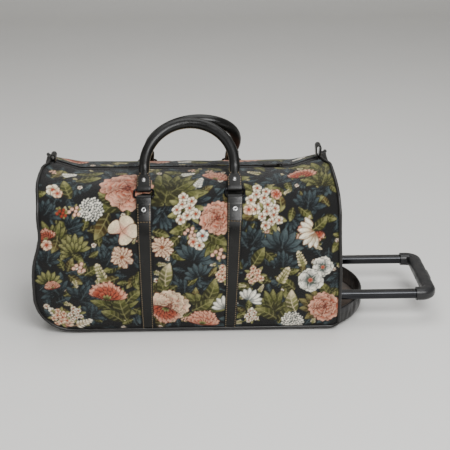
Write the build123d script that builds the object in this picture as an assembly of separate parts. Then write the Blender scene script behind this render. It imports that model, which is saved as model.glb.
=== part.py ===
from build123d import *
import math
import os

# A wheeled carpet bag: a soft tapestry body with ring-hung carry handles, a telescopic trolley handle
# in the base, two corner wheels and a pouch that the trolley grip stows in.
# Millimetres, +Z up. Origin on the floor under the middle of the base, +X towards the trolley handle,
# -Y towards the front.

# Soft body: the section across its depth, and the outline seen from the front
BODY_LENGTH = 562.0
TOP_LENGTH = 508.0
LEVEL_LENGTH = 400.0
BODY_HEIGHT = 283.0
END_RISE = 18.0
BASE_DEPTH = 252.0
BASE_HEIGHT = 8.0
SHOULDER_DEPTH = 262.0
SHOULDER_DROP = 93.0
CROWN_DEPTH = 144.0
CROWN_RADIUS = 200.0
UPRIGHT_HEIGHT = 95.0
WHEEL_CORNER_RADIUS = 70.0
HANDLE_CORNER_RADIUS = 14.0
WALL = 3.0
SEAM_GAP = 0.2
OVERRUN = 40.0

# Piping along the seams
PIPING_WIDTH = 6.0
PIPING_HEIGHT = 4.0

# Zip along the top
ZIP_SLOT = 16.0
TAPE_WIDTH = 14.0
TAPE_THICKNESS = 1.0
CHAIN_WIDTH = 6.0
CHAIN_RISE = 1.2
SLIDER_PLACE = 176.0
SLIDER_LENGTH = 15.0
SLIDER_WIDTH = 11.0
SLIDER_ROOF = 1.6
SLIDER_GAP = 0.35
BRIDGE_LENGTH = 10.0
BRIDGE_WIDTH = 3.0
BRIDGE_HEIGHT = 4.6
BRIDGE_BAR = 1.4
PULL_LENGTH = 34.0
PULL_WIDTH = 9.0
PULL_THICKNESS = 1.8
PULL_WINDOW = 5.2
PULL_HOLE = 4.0
TAB_DEPTH = 25.0
TAB_THICKNESS = 11.0
TAB_LAYER = 2.2
HANDLE_END_TAB_HEIGHT = 21.0
WHEEL_END_TAB_HEIGHT = 9.0

# Body straps, with the rings that they hold at the shoulder
STRAP_LEFT_TOP = -77.0
STRAP_LEFT_FOOT = -75.0
STRAP_RIGHT_TOP = 88.0
STRAP_RIGHT_FOOT = 78.0
STRAP_TOP_WIDTH = 27.0
STRAP_FOOT_WIDTH = 22.0
STRAP_THICKNESS = 2.6
FOLD_THICKNESS = 2.4
FOLD_START_ANGLE = 27.0
RIVET_ANGLE = 36.0
RING_ANGLE = 50.0
RING_TILT = 50.0
RING_REACH = 16.0
RING_WIRE = 4.0
RING_INNER_WIDTH = 31.0
RING_CORNER_RADIUS = 5.0
LOOP_GAP = 0.3
LOOP_LEATHER = 2.2
RIVET_DIAMETER = 9.0
RIVET_FACE_DIAMETER = 6.0
RIVET_HEIGHT = 2.2

# Carry handles: shaped tabs on the rings, flat legs and a rolled grip
HANDLE_REACH = 129.0
GRIP_DIAMETER = 20.0
HANDLE_APART = 3.0
LEG_WIDTH = 18.0
LEG_THICKNESS = 5.0
TAB_WIDTH = 26.0
TAB_LENGTH = 31.0
TAB_CORNER_RADIUS = 8.0
TAB_RIVET_PLACE = 18.0
GRIP_TAPER = 16.0
GRIP_NECK_DIAMETER = 12.0

# Trolley handle: fixed outer tubes, sliding inner tubes and the grip
TUBE_SPACING = 172.0
TUBE_HEIGHT = 53.5
INNER_TUBE_WIDTH = 19.0
INNER_TUBE_DEPTH = 15.0
INNER_TUBE_WALL = 1.4
INNER_TUBE_LENGTH = 466.0
TUBE_CORNER_RADIUS = 4.5
GROOVE_WIDTH = 2.4
GROOVE_DEPTH = 0.7
OUTER_TUBE_WALL = 1.5
TUBE_CLEARANCE = 0.5
BUSH_LENGTH = 24.0
BUSH_CLEARANCE = 0.2
BEZEL_THICKNESS = 5.0
BEZEL_MARGIN = 14.0
BEZEL_CORNER_RADIUS = 8.0
BEZEL_CLEARANCE = 0.25
EXPOSED_TUBE = 146.0
GRIP_SOCKET_DEPTH = 16.0
GRIP_BAR_WIDTH = 26.0
GRIP_BAR_HEIGHT = 23.0
GRIP_BAR_ROUNDING = 9.5
GRIP_BEND_RADIUS = 17.0
GRIP_RUN = 27.0
SOCKET_FIT = 0.05
BUTTON_LENGTH = 42.0
BUTTON_HEIGHT = 9.0
BUTTON_PROUD = 2.0
BUTTON_DEPTH = 3.0
BUTTON_TRAVEL = 3.0
BUTTON_CLEARANCE = 0.3
BRACE_PLACE = 60.0
BRACE_LENGTH = 26.0
BRACE_MARGIN = 12.0
BRACE_WALL = 4.0

# Wheels in their corner housings
WHEEL_DIAMETER = 60.0
WHEEL_WIDTH = 22.0
WHEEL_TRACK = 160.0
WHEEL_SETBACK = 38.0
WHEEL_FLOOR_GAP = 1.0
TYRE_THICKNESS = 8.0
TYRE_CHAMFER = 2.0
HUB_RECESS = 4.0
HUB_RIM = 3.5
HUB_BOSS_DIAMETER = 14.0
SPOKE_COUNT = 5
SPOKE_WIDTH = 4.0
AXLE_DIAMETER = 6.0
AXLE_FIT = 0.05
AXLE_SEAT = 0.02
WHEEL_SIDE_GAP = 2.0
WHEEL_ROUND_GAP = 3.0
HOUSING_WALL = 4.0
HOUSING_LENGTH = 86.0
HOUSING_HEIGHT = 76.0
FLANGE_THICKNESS = 2.0
FLANGE_MARGIN = 9.0
SOCKET_LENGTH = 22.0
SOCKET_WALL = 4.0

# Base board inside, and the runners that the bag stands on
BOARD_THICKNESS = 3.0
BOARD_MARGIN = 10.0
RUNNER_WIDTH = 18.0
RUNNER_CHAMFER = 3.0
RUNNER_SPACING = 75.0
RUNNER_START = -172.0
RUNNER_END = 250.0

# Pouch below the trolley handle
POUCH_DEPTH = 58.0
POUCH_WIDTH = 244.0
POUCH_LIP = 41.0
POUCH_WALL = 2.2
POUCH_TAPE_WIDTH = 12.0
POUCH_TAPE_THICKNESS = 1.4

HALF_LENGTH = BODY_LENGTH / 2
TOP_END = BODY_HEIGHT + END_RISE
REACH = BODY_LENGTH + BODY_HEIGHT
TUBE_PLACE = TUBE_SPACING / 2
WHEEL_PLACE = WHEEL_TRACK / 2


def slab(x0, x1, y0, y1, z0, z1):
    """Block between two corners."""
    centre = Pos((x0 + x1) / 2, (y0 + y1) / 2, (z0 + z1) / 2)
    return centre * Box(x1 - x0, y1 - y0, z1 - z0)


def front_side(inset):
    """Everything in front of the zip by more than an inset."""
    return slab(-REACH, REACH, -REACH, -inset, -REACH, REACH)


def to_back(shape):
    """The same piece on the back of the bag."""
    return mirror(shape, Plane.XZ)


def arc_end(start, end, tangent):
    """Direction in which the arc that leaves start along tangent arrives at end."""
    chord = (end - start).normalized()
    return chord * (2 * chord.dot(tangent)) - tangent


def left_of(direction):
    """Unit normal on the left of a direction in a sketch."""
    return Vector(-direction.Y, direction.X)


def flipped(vector):
    """The same sketch vector on the other side of the middle."""
    return Vector(-vector.X, vector.Y)


# The section's key points, on the back half: the crown meets the shoulder arc, which meets the side arc
CROWN_SLOPE = math.asin(CROWN_DEPTH / 2 / CROWN_RADIUS)
CROWN_SAG = CROWN_RADIUS * (1 - math.cos(CROWN_SLOPE))
CROWN_TANGENT = Vector(math.cos(CROWN_SLOPE), -math.sin(CROWN_SLOPE))


def section_points(rise):
    """Points and directions where the arcs of the section meet, for a top that is raised."""
    crown = Vector(CROWN_DEPTH / 2, BODY_HEIGHT + rise - CROWN_SAG)
    shoulder = Vector(SHOULDER_DEPTH / 2, BODY_HEIGHT + rise - SHOULDER_DROP)
    base = Vector(BASE_DEPTH / 2, BASE_HEIGHT)
    shoulder_tangent = arc_end(crown, shoulder, CROWN_TANGENT)
    base_tangent = arc_end(shoulder, base, shoulder_tangent)
    return (crown, shoulder, base), (CROWN_TANGENT, shoulder_tangent, base_tangent)


def section(rise, grow):
    """Cross-section of the body, grown outwards by an amount, with a skirt below the base."""
    places, tangents = section_points(rise)
    crown, shoulder, base = [p + left_of(t) * grow for p, t in zip(places, tangents)]
    foot = base + tangents[2] * (OVERRUN + BASE_HEIGHT)
    top = Vector(0, BODY_HEIGHT + rise + grow)
    edges = [ThreePointArc(flipped(crown), top, crown), Line(foot, flipped(foot))]
    for side in (Vector, flipped):
        edges += [
            TangentArc(side(crown), side(shoulder), tangent=side(tangents[0])),
            TangentArc(side(shoulder), side(base), tangent=side(tangents[1])),
            Line(side(base), side(foot)),
        ]
    return make_face(edges)


def level_body(grow):
    """Solid of the body's level middle stretch, grown by an amount."""
    return extrude(Plane.YZ.offset(-LEVEL_LENGTH / 2) * section(0, grow), LEVEL_LENGTH)


def body(grow):
    """Solid of the whole body, longer than the bag, whose top climbs towards both ends."""
    level_half = LEVEL_LENGTH / 2
    far = HALF_LENGTH + OVERRUN
    slope = END_RISE / (TOP_LENGTH / 2 - level_half)
    whole = level_body(grow)
    for sign in (-1, 1):
        near_face = Plane.YZ.offset(sign * level_half) * section(0, grow)
        far_face = Plane.YZ.offset(sign * far) * section(slope * (far - level_half), grow)
        whole += loft([near_face, far_face], ruled=True)
    return whole


def outline(grow):
    """Front view of the bag, grown by an amount: a big radius at the wheels, leaning ends, open above."""
    half = HALF_LENGTH + grow
    low = BASE_HEIGHT - grow
    upright = Vector(HALF_LENGTH, UPRIGHT_HEIGHT)
    end = Vector(TOP_LENGTH / 2, TOP_END)
    lean = arc_end(upright, end, Vector(0, 1))
    start = Vector(half, UPRIGHT_HEIGHT)
    tip = end - left_of(lean) * grow
    above = tip + lean * OVERRUN
    wheel_corner = Vector(WHEEL_CORNER_RADIUS - HALF_LENGTH, BASE_HEIGHT + WHEEL_CORNER_RADIUS)
    handle_corner = Vector(HALF_LENGTH - HANDLE_CORNER_RADIUS, BASE_HEIGHT + HANDLE_CORNER_RADIUS)
    edges = [
        CenterArc(wheel_corner, WHEEL_CORNER_RADIUS + grow, 180, 90),
        Line((wheel_corner.X, low), (handle_corner.X, low)),
        CenterArc(handle_corner, HANDLE_CORNER_RADIUS + grow, 270, 90),
        Line((half, handle_corner.Y), start),
        Line((-half, wheel_corner.Y), flipped(start)),
        Line(above, flipped(above)),
    ]
    for side in (Vector, flipped):
        edges += [TangentArc(side(start), side(tip), tangent=Vector(0, 1)), Line(side(tip), side(above))]
    return make_face(edges)


def profile(grow):
    """The front outline carried through the whole depth."""
    return extrude(Plane.XZ * outline(grow), REACH, both=True)


def rounded(width, height, radius, grow=0.0):
    """Rounded rectangle, grown by an amount."""
    return RectangleRounded(width + 2 * grow, height + 2 * grow, radius + grow)


OUTER = body(0)
INNER = body(-WALL)
LINING = body(-WALL - SEAM_GAP)
FRAME = profile(0)
CAVITY = profile(-WALL)
CLEAR_CAVITY = profile(-WALL - SEAM_GAP)


# Where the shoulder arc lies, for the pieces that sit on it
def shoulder_arc():
    """Centre and radius of the shoulder arc, on the front half."""
    (crown, shoulder, _), (start, end, _) = section_points(0)
    radius = (shoulder - crown).length / (2 * math.sin(math.radians(start.get_angle(end)) / 2))
    return flipped(crown - left_of(start) * radius), radius


SHOULDER_CENTRE, SHOULDER_RADIUS = shoulder_arc()


def on_shoulder(angle, height):
    """Point over the front shoulder, as depth and height, at an angle above the horizontal."""
    turn = math.radians(angle)
    return SHOULDER_CENTRE + Vector(-math.cos(turn), math.sin(turn)) * (SHOULDER_RADIUS + height)


LOOP_RADIUS = RING_WIRE / 2 + LOOP_GAP + LOOP_LEATHER
LOW_BAR = on_shoulder(RING_ANGLE, LOOP_RADIUS + LOOP_GAP)
RING_RISE = Vector(math.cos(math.radians(RING_TILT)), math.sin(math.radians(RING_TILT)))
HIGH_BAR = LOW_BAR + RING_RISE * RING_REACH


def make_panels():
    """Tapestry front and back, which meet at the zip slot."""
    shell = (OUTER - INNER) & FRAME
    front = shell & front_side(ZIP_SLOT / 2)
    return {"front_panel": front, "back_panel": to_back(front)}


HOUSING_END = HOUSING_LENGTH - HALF_LENGTH
HOUSING_TOP = BASE_HEIGHT + HOUSING_HEIGHT
HOUSING_WIDTH = WHEEL_WIDTH + 2 * (WHEEL_SIDE_GAP + HOUSING_WALL)
WHEEL_RADIUS = WHEEL_DIAMETER / 2
WHEEL_CENTRE = Pos(WHEEL_SETBACK - HALF_LENGTH, -WHEEL_PLACE, WHEEL_FLOOR_GAP + WHEEL_RADIUS)


def across(radius, width):
    """Cylinder along Y about the front wheel's centre."""
    return WHEEL_CENTRE * Rot(X=90) * Cylinder(radius, width)


def corner_block(gap, margin):
    """Block round the front wheel's corner, with a gap or a margin all round."""
    half = HOUSING_WIDTH / 2 + gap + margin
    right = HOUSING_END + gap + margin
    return slab(-REACH, right, -WHEEL_PLACE - half, half - WHEEL_PLACE, -REACH, HOUSING_TOP + gap + margin)


def make_gusset():
    """Vinyl strip that closes both ends and the base, in three panels."""
    strip = (FRAME - CAVITY) & LINING
    corner = corner_block(SEAM_GAP, 0)
    strip = strip - corner - to_back(corner)
    handle_seam = BASE_HEIGHT + HANDLE_CORNER_RADIUS
    wheel_end = strip & slab(-REACH, 0, -REACH, REACH, UPRIGHT_HEIGHT + SEAM_GAP, REACH)
    handle_end = strip & slab(0, REACH, -REACH, REACH, handle_seam + SEAM_GAP, REACH)
    base = strip & (
        slab(-REACH, 0, -REACH, REACH, -REACH, UPRIGHT_HEIGHT)
        + slab(0, REACH, -REACH, REACH, -REACH, handle_seam)
    )
    for sign in (-1, 1):
        handle_end -= tube_run(OUTER_GROW + TUBE_CLEARANCE / 2, 0, HALF_LENGTH + WALL, sign)
    return {"wheel_end_panel": wheel_end, "base_panel": base, "handle_end_panel": handle_end}


def make_piping():
    """Vinyl piping on the front and back seams, up both ends to the zip."""
    half = PIPING_WIDTH / 2
    band = (profile(half) - profile(-half)) & (body(PIPING_HEIGHT) - OUTER)
    front = band & front_side(TAB_DEPTH / 2 + SEAM_GAP)
    return {"front_piping": front, "back_piping": to_back(front)}


def make_zip():
    """Zip tapes under the panels' edges and the closed chain between them."""
    tape = LINING - body(-WALL - SEAM_GAP - TAPE_THICKNESS)
    half = CHAIN_WIDTH / 2
    tape = tape & CLEAR_CAVITY & slab(-REACH, REACH, -half - TAPE_WIDTH, -half, 0, REACH)
    chain = body(CHAIN_RISE - WALL) - body(-WALL - TAPE_THICKNESS - CHAIN_RISE)
    chain = chain & CLEAR_CAVITY & slab(-REACH, REACH, -half, half, 0, REACH)
    return {"front_zip_tape": tape, "back_zip_tape": to_back(tape), "zip_chain": chain}


CHAIN_TOP = BODY_HEIGHT - WALL + CHAIN_RISE
SLIDER_FLOOR = BODY_HEIGHT - WALL + SLIDER_GAP
SLIDER_TOP = CHAIN_TOP + SLIDER_GAP + SLIDER_ROOF
PULL_AXIS = SLIDER_TOP + (BRIDGE_HEIGHT - BRIDGE_BAR) / 2


def make_slider():
    """Zip slider that rides on the chain, with a bridge for its pull."""
    half_length = SLIDER_LENGTH / 2
    half_width = SLIDER_WIDTH / 2
    groove = CHAIN_WIDTH / 2 + SLIDER_GAP
    slider = slab(-half_length, half_length, -half_width, half_width, SLIDER_FLOOR, SLIDER_TOP)
    slider = chamfer(slider.edges().filter_by(Axis.Z), SLIDER_WIDTH / 5)
    slider -= slab(-REACH, REACH, -groove, groove, 0, CHAIN_TOP + SLIDER_GAP)
    span = BRIDGE_LENGTH / 2
    thick = BRIDGE_WIDTH / 2
    bridge = slab(-span, span, -thick, thick, SLIDER_TOP, SLIDER_TOP + BRIDGE_HEIGHT)
    bridge = chamfer(bridge.edges().group_by(Axis.Z)[-1].filter_by(Axis.Y), BRIDGE_BAR)
    inside = span - BRIDGE_BAR
    bridge -= slab(-inside, inside, -thick, thick, SLIDER_TOP, SLIDER_TOP + BRIDGE_HEIGHT - BRIDGE_BAR)
    return {"zip_slider": Pos(SLIDER_PLACE, 0, 0) * (slider + bridge)}


def make_pull():
    """Flat pull whose end bar lies under the slider's bridge."""
    middle = (PULL_THICKNESS - PULL_LENGTH) / 2
    plate = Pos(middle, 0, 0) * rounded(PULL_LENGTH, PULL_WIDTH, PULL_WIDTH / 3)
    window = Pos(-PULL_THICKNESS / 2 - PULL_WINDOW / 2, 0, 0) * Rectangle(PULL_WINDOW, PULL_WINDOW)
    hole = Pos(PULL_HOLE - PULL_LENGTH, 0, 0) * Circle(PULL_HOLE / 2)
    pull = extrude(plate - window - hole, PULL_THICKNESS / 2, both=True)
    return {"zip_pull": Pos(SLIDER_PLACE, 0, PULL_AXIS) * pull}


def make_tab(sign, height):
    """Folded vinyl tab that stands on one end of the zip."""
    half = TAB_THICKNESS / 2
    crest = TOP_END + PIPING_HEIGHT + height - half
    loop = Pos(0, crest) * Circle(half) + Pos(0, crest - OVERRUN / 2) * Rectangle(TAB_THICKNESS, OVERRUN)
    hollow = half - TAB_LAYER
    loop -= Pos(0, crest) * Circle(hollow) + Pos(0, crest - OVERRUN / 2) * Rectangle(2 * hollow, OVERRUN)
    tab = extrude(Plane.XZ * loop, TAB_DEPTH / 2, both=True)
    return Pos(sign * (TOP_LENGTH - TAB_THICKNESS) / 2, 0, 0) * tab - body(SEAM_GAP)


def make_tabs():
    """The zip's two end tabs."""
    return {
        "handle_end_tab": make_tab(1, HANDLE_END_TAB_HEIGHT),
        "wheel_end_tab": make_tab(-1, WHEEL_END_TAB_HEIGHT),
    }


def strap_cut(top, foot):
    """Tapering strip, seen from the front, that trims a strap from a layer on the body."""
    low = BASE_HEIGHT + PIPING_WIDTH / 2 + SEAM_GAP
    high = LOW_BAR.Y
    top_half = STRAP_TOP_WIDTH / 2
    foot_half = STRAP_FOOT_WIDTH / 2
    foot_corners = [(foot - foot_half, low), (foot + foot_half, low)]
    top_corners = [(top + top_half, high), (top - top_half, high)]
    return extrude(Plane.XZ * make_face(Polyline(*foot_corners, *top_corners, close=True)), REACH)


def bar_along(x, bar, radius, length):
    """Cylinder along X about a ring bar."""
    return Pos(x, bar.X, bar.Y) * Rot(Y=90) * Cylinder(radius, length)


def make_strap(top, foot):
    """Front strap: a band on the body, folded over at its top and looped round the ring's lower bar."""
    cut = strap_cut(top, foot)
    band = (level_body(STRAP_THICKNESS) - level_body(0)) & cut
    band = band & slab(-REACH, REACH, -REACH, LOW_BAR.X, 0, REACH)
    fold_low = on_shoulder(FOLD_START_ANGLE, STRAP_THICKNESS)
    fold = (level_body(STRAP_THICKNESS + FOLD_THICKNESS) - level_body(STRAP_THICKNESS)) & cut
    fold = fold & slab(-REACH, REACH, -REACH, LOW_BAR.X, fold_low.Y, REACH)
    strap = band + fold + bar_along(top, LOW_BAR, LOOP_RADIUS, STRAP_TOP_WIDTH)
    strap -= OUTER
    return strap - bar_along(top, LOW_BAR, RING_WIRE / 2 + LOOP_GAP, 2 * STRAP_TOP_WIDTH)


def make_ring(top):
    """Rectangular wire ring between a strap and a handle tab."""
    middle = (LOW_BAR + HIGH_BAR) * 0.5
    plane = Plane(origin=(top, middle.X, middle.Y), x_dir=(1, 0, 0), z_dir=(0, -RING_RISE.Y, RING_RISE.X))
    path = plane * RectangleRounded(RING_INNER_WIDTH + RING_WIRE, RING_REACH, RING_CORNER_RADIUS)
    wire = path.wire()
    start = wire.edges().filter_by(Axis.X)[0]
    seat = Plane(origin=start @ 0.5, z_dir=start % 0.5)
    return sweep(seat * Circle(RING_WIRE / 2), path=wire)


def rivet(spot, direction):
    """Rivet head on a surface."""
    head = Cone(RIVET_DIAMETER / 2, RIVET_FACE_DIAMETER / 2, RIVET_HEIGHT)
    return Plane(origin=spot, z_dir=direction) * Pos(0, 0, RIVET_HEIGHT / 2) * head


def strap_rivet(top):
    """Rivet through a strap's fold, seated on the curved leather."""
    height = STRAP_THICKNESS + FOLD_THICKNESS
    spot = on_shoulder(RIVET_ANGLE, height - RIVET_HEIGHT / 4)
    out = spot - SHOULDER_CENTRE
    head = rivet((top, spot.X, spot.Y), (0, out.X, out.Y))
    return head - level_body(height)


STRAP_TOPS = {"left": (STRAP_LEFT_TOP, STRAP_LEFT_FOOT), "right": (STRAP_RIGHT_TOP, STRAP_RIGHT_FOOT)}


def make_straps():
    """Straps, rings and strap rivets, front and back."""
    nodes = {}
    rivets = []
    for side, (top, foot) in STRAP_TOPS.items():
        strap = make_strap(top, foot)
        ring = make_ring(top)
        rivets.append(strap_rivet(top))
        nodes["front_strap_" + side] = strap
        nodes["back_strap_" + side] = to_back(strap)
        nodes["front_ring_" + side] = ring
        nodes["back_ring_" + side] = to_back(ring)
    nodes["strap_rivets"] = Compound(children=rivets + [to_back(head) for head in rivets])
    return nodes


HANDLE_MIDDLE = (STRAP_LEFT_TOP + STRAP_RIGHT_TOP) / 2
HANDLE_HALF = (STRAP_RIGHT_TOP - STRAP_LEFT_TOP) / 2
HANDLE_STAND = GRIP_DIAMETER / 2 + HANDLE_APART / 2
HANDLE_LEAN = math.degrees(math.asin((-HIGH_BAR.X - HANDLE_STAND) / HANDLE_REACH))


def in_place(shape):
    """Stands a front handle, made upright about its ring bars, over the bag."""
    return Pos(HANDLE_MIDDLE, HIGH_BAR.X, HIGH_BAR.Y) * Rot(X=-HANDLE_LEAN) * shape


def make_handle():
    """Front carry handle and its tab rivets, upright about the axis of its ring bars."""
    spring = HANDLE_REACH - HANDLE_HALF
    arch = CenterArc((0, spring), HANDLE_HALF, 0, 180)
    seat = Plane(origin=(HANDLE_HALF, 0, spring), z_dir=(0, 0, 1))
    handle = sweep(seat * Circle(GRIP_DIAMETER / 2), path=Plane.XZ * arch)
    rivets = []
    for sign in (-1, 1):
        x = sign * HANDLE_HALF
        neck = Cone(GRIP_NECK_DIAMETER / 2, GRIP_DIAMETER / 2, GRIP_TAPER)
        leg = slab(x - LEG_WIDTH / 2, x + LEG_WIDTH / 2, -LEG_THICKNESS / 2, LEG_THICKNESS / 2, 0, spring)
        tab = Pos(x, (TAB_LENGTH - TAB_CORNER_RADIUS) / 2) * rounded(
            TAB_WIDTH, TAB_LENGTH + TAB_CORNER_RADIUS, TAB_CORNER_RADIUS
        )
        tab = extrude(Plane.XZ * tab, LEG_THICKNESS / 2, both=True)
        tab = tab & slab(-REACH, REACH, -REACH, REACH, 0, REACH)
        loop = Pos(x, 0, 0) * Rot(Y=90) * Cylinder(LOOP_RADIUS, TAB_WIDTH)
        bore = Pos(x, 0, 0) * Rot(Y=90) * Cylinder(RING_WIRE / 2 + LOOP_GAP, 2 * TAB_WIDTH)
        handle += Pos(x, 0, spring - GRIP_TAPER / 2) * neck + leg + tab + loop
        handle -= bore
        rivets.append(in_place(rivet((x, -LEG_THICKNESS / 2, TAB_RIVET_PLACE), (0, -1, 0))))
    return in_place(handle), Compound(children=rivets)


def make_handles():
    """Both carry handles with their rivets."""
    handle, rivets = make_handle()
    return {
        "front_handle": handle,
        "back_handle": to_back(handle),
        "front_handle_rivets": rivets,
        "back_handle_rivets": to_back(rivets),
    }


OUTER_GROW = TUBE_CLEARANCE + OUTER_TUBE_WALL


def tube_section(grow):
    """Section of the trolley tubes, grown from the inner tube's outside."""
    return rounded(INNER_TUBE_WIDTH, INNER_TUBE_DEPTH, TUBE_CORNER_RADIUS, grow)


def run_of(face, start, end, sign):
    """A tube section carried along X on the front or back tube line."""
    plane = Plane(origin=(start, sign * TUBE_PLACE, TUBE_HEIGHT), x_dir=(0, 1, 0), z_dir=(1, 0, 0))
    return extrude(plane * face, end - start)


def tube_run(grow, start, end, sign):
    """Solid bar of a grown tube section along X."""
    return run_of(tube_section(grow), start, end, sign)


GRIP_START = HALF_LENGTH + BEZEL_THICKNESS + EXPOSED_TUBE
TUBE_END = GRIP_START + GRIP_SOCKET_DEPTH
TUBE_TAIL = TUBE_END - INNER_TUBE_LENGTH
BAR_PLACE = GRIP_START + GRIP_RUN
SIDES = {"front": -1, "back": 1}


def make_tubes():
    """Outer and inner trolley tubes, and the bushes on the inner tubes' tails."""
    nodes = {}
    bushes = []
    grooves = [
        Pos(sign * INNER_TUBE_WIDTH / 2, 0) * Rectangle(2 * GROOVE_DEPTH, GROOVE_WIDTH) for sign in (-1, 1)
    ]
    inner_face = tube_section(0) - tube_section(-INNER_TUBE_WALL - GROOVE_DEPTH) - grooves
    outer_face = tube_section(OUTER_GROW) - tube_section(TUBE_CLEARANCE)
    for side, sign in SIDES.items():
        nodes["outer_tube_" + side] = run_of(outer_face, HOUSING_END, HALF_LENGTH, sign)
        nodes["inner_tube_" + side] = run_of(inner_face, TUBE_TAIL, TUBE_END, sign)
        bushes.append(tube_run(TUBE_CLEARANCE - BUSH_CLEARANCE, TUBE_TAIL - BUSH_LENGTH, TUBE_TAIL, sign))
    nodes["tube_bushes"] = Compound(children=bushes)
    return nodes


def make_bezel():
    """Bezel on the end panel that the inner tubes slide through."""
    face = rounded(
        TUBE_SPACING + INNER_TUBE_WIDTH + 2 * BEZEL_MARGIN,
        INNER_TUBE_DEPTH + 2 * BEZEL_MARGIN,
        BEZEL_CORNER_RADIUS,
    )
    plane = Plane(origin=(HALF_LENGTH, 0, TUBE_HEIGHT), x_dir=(0, 1, 0), z_dir=(1, 0, 0))
    bezel = extrude(plane * face, BEZEL_THICKNESS)
    bezel = chamfer(bezel.faces().sort_by(Axis.X)[-1].edges(), BEZEL_THICKNESS / 3)
    for sign in SIDES.values():
        bezel -= tube_run(BEZEL_CLEARANCE, 0, GRIP_START, sign)
    return {"tube_bezel": bezel}


def make_grip():
    """Trolley grip: a bent bar with sockets for the tubes, and its release button."""
    corners = [
        (GRIP_START, -TUBE_PLACE, TUBE_HEIGHT),
        (BAR_PLACE, -TUBE_PLACE, TUBE_HEIGHT),
        (BAR_PLACE, TUBE_PLACE, TUBE_HEIGHT),
        (GRIP_START, TUBE_PLACE, TUBE_HEIGHT),
    ]
    path = FilletPolyline(*corners, radius=GRIP_BEND_RADIUS)
    seat = Plane(origin=corners[0], x_dir=(0, 1, 0), z_dir=(1, 0, 0))
    grip = sweep(seat * rounded(GRIP_BAR_WIDTH, GRIP_BAR_HEIGHT, GRIP_BAR_ROUNDING), path=path)
    for sign in SIDES.values():
        grip -= tube_run(SOCKET_FIT, GRIP_START, TUBE_END, sign)
    face_x = BAR_PLACE + GRIP_BAR_WIDTH / 2
    plane = Plane(origin=(face_x, 0, TUBE_HEIGHT), x_dir=(0, 1, 0), z_dir=(1, 0, 0))
    slot = SlotOverall(BUTTON_LENGTH, BUTTON_HEIGHT)
    pocket = SlotOverall(BUTTON_LENGTH + 2 * BUTTON_CLEARANCE, BUTTON_HEIGHT + 2 * BUTTON_CLEARANCE)
    depth = BUTTON_DEPTH + BUTTON_TRAVEL + BUTTON_CLEARANCE
    grip -= extrude(plane.offset(-depth) * pocket, depth + BUTTON_PROUD)
    button = extrude(plane.offset(-BUTTON_DEPTH) * slot, BUTTON_DEPTH + BUTTON_PROUD)
    button = chamfer(button.faces().sort_by(Axis.X)[-1].edges(), BUTTON_PROUD / 2)
    return {"trolley_grip": grip, "release_button": button}


def make_brace():
    """Cross brace on the base board that holds both outer tubes."""
    half_length = BRACE_LENGTH / 2
    half_width = TUBE_PLACE + INNER_TUBE_WIDTH / 2 + OUTER_GROW + BRACE_WALL
    low = BASE_HEIGHT + WALL + BOARD_THICKNESS
    brace = slab(-half_length, half_length, -half_width, half_width, low, TUBE_HEIGHT)
    brace = Pos(BRACE_PLACE, 0, 0) * brace
    relief = TUBE_PLACE - INNER_TUBE_WIDTH / 2 - OUTER_GROW - BRACE_MARGIN
    brace -= slab(0, REACH, -relief, relief, low + BRACE_WALL, TUBE_HEIGHT)
    for sign in SIDES.values():
        brace -= tube_run(OUTER_GROW, 0, HALF_LENGTH, sign)
    return {"tube_brace": brace}


def make_housing():
    """Front wheel housing: a moulded corner with a wheel well, an outer flange and a tube socket."""
    core = FRAME & corner_block(0, 0)
    flange = (profile(FLANGE_THICKNESS) - FRAME) & corner_block(0, FLANGE_MARGIN)
    socket = tube_run(OUTER_GROW + SOCKET_WALL, HOUSING_END, HOUSING_END + SOCKET_LENGTH, -1)
    socket -= tube_run(OUTER_GROW, HOUSING_END, HALF_LENGTH, -1)
    housing = core + flange + socket
    housing -= across(WHEEL_RADIUS + WHEEL_ROUND_GAP, WHEEL_WIDTH + 2 * WHEEL_SIDE_GAP)
    return housing - across(AXLE_DIAMETER / 2 + AXLE_SEAT, 2 * HOUSING_WIDTH)


def make_hub():
    """Front wheel's hub: a rim and a boss joined by a web with spokes."""
    rim_radius = WHEEL_RADIUS - TYRE_THICKNESS
    hub = Circle(rim_radius) - Circle(rim_radius - HUB_RIM) + Circle(HUB_BOSS_DIAMETER / 2)
    for index in range(SPOKE_COUNT):
        spoke = Pos(rim_radius / 2, 0) * Rectangle(rim_radius - HUB_RIM, SPOKE_WIDTH)
        hub += Rot(Z=index * 360 / SPOKE_COUNT) * spoke
    web = extrude(Circle(rim_radius), WHEEL_WIDTH / 2 - HUB_RECESS, both=True)
    hub = extrude(hub, WHEEL_WIDTH / 2, both=True) + web
    hub -= Cylinder(AXLE_DIAMETER / 2 + AXLE_FIT, 2 * WHEEL_WIDTH)
    return WHEEL_CENTRE * Rot(X=90) * hub


def make_tyre():
    """Front wheel's tyre, with chamfered shoulders."""
    tyre = Cylinder(WHEEL_RADIUS, WHEEL_WIDTH)
    tyre = chamfer(tyre.edges().filter_by(GeomType.CIRCLE), TYRE_CHAMFER)
    tyre -= Cylinder(WHEEL_RADIUS - TYRE_THICKNESS, 2 * WHEEL_WIDTH)
    return WHEEL_CENTRE * Rot(X=90) * tyre


def make_wheels():
    """Wheels, axles and housings, front and back."""
    front = {
        "wheel_housing": make_housing(),
        "wheel_hub": make_hub(),
        "wheel_tyre": make_tyre(),
        "wheel_axle": across(AXLE_DIAMETER / 2, HOUSING_WIDTH),
    }
    nodes = {}
    for name, piece in front.items():
        nodes[name + "_front"] = piece
        nodes[name + "_back"] = to_back(piece)
    return nodes


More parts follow.
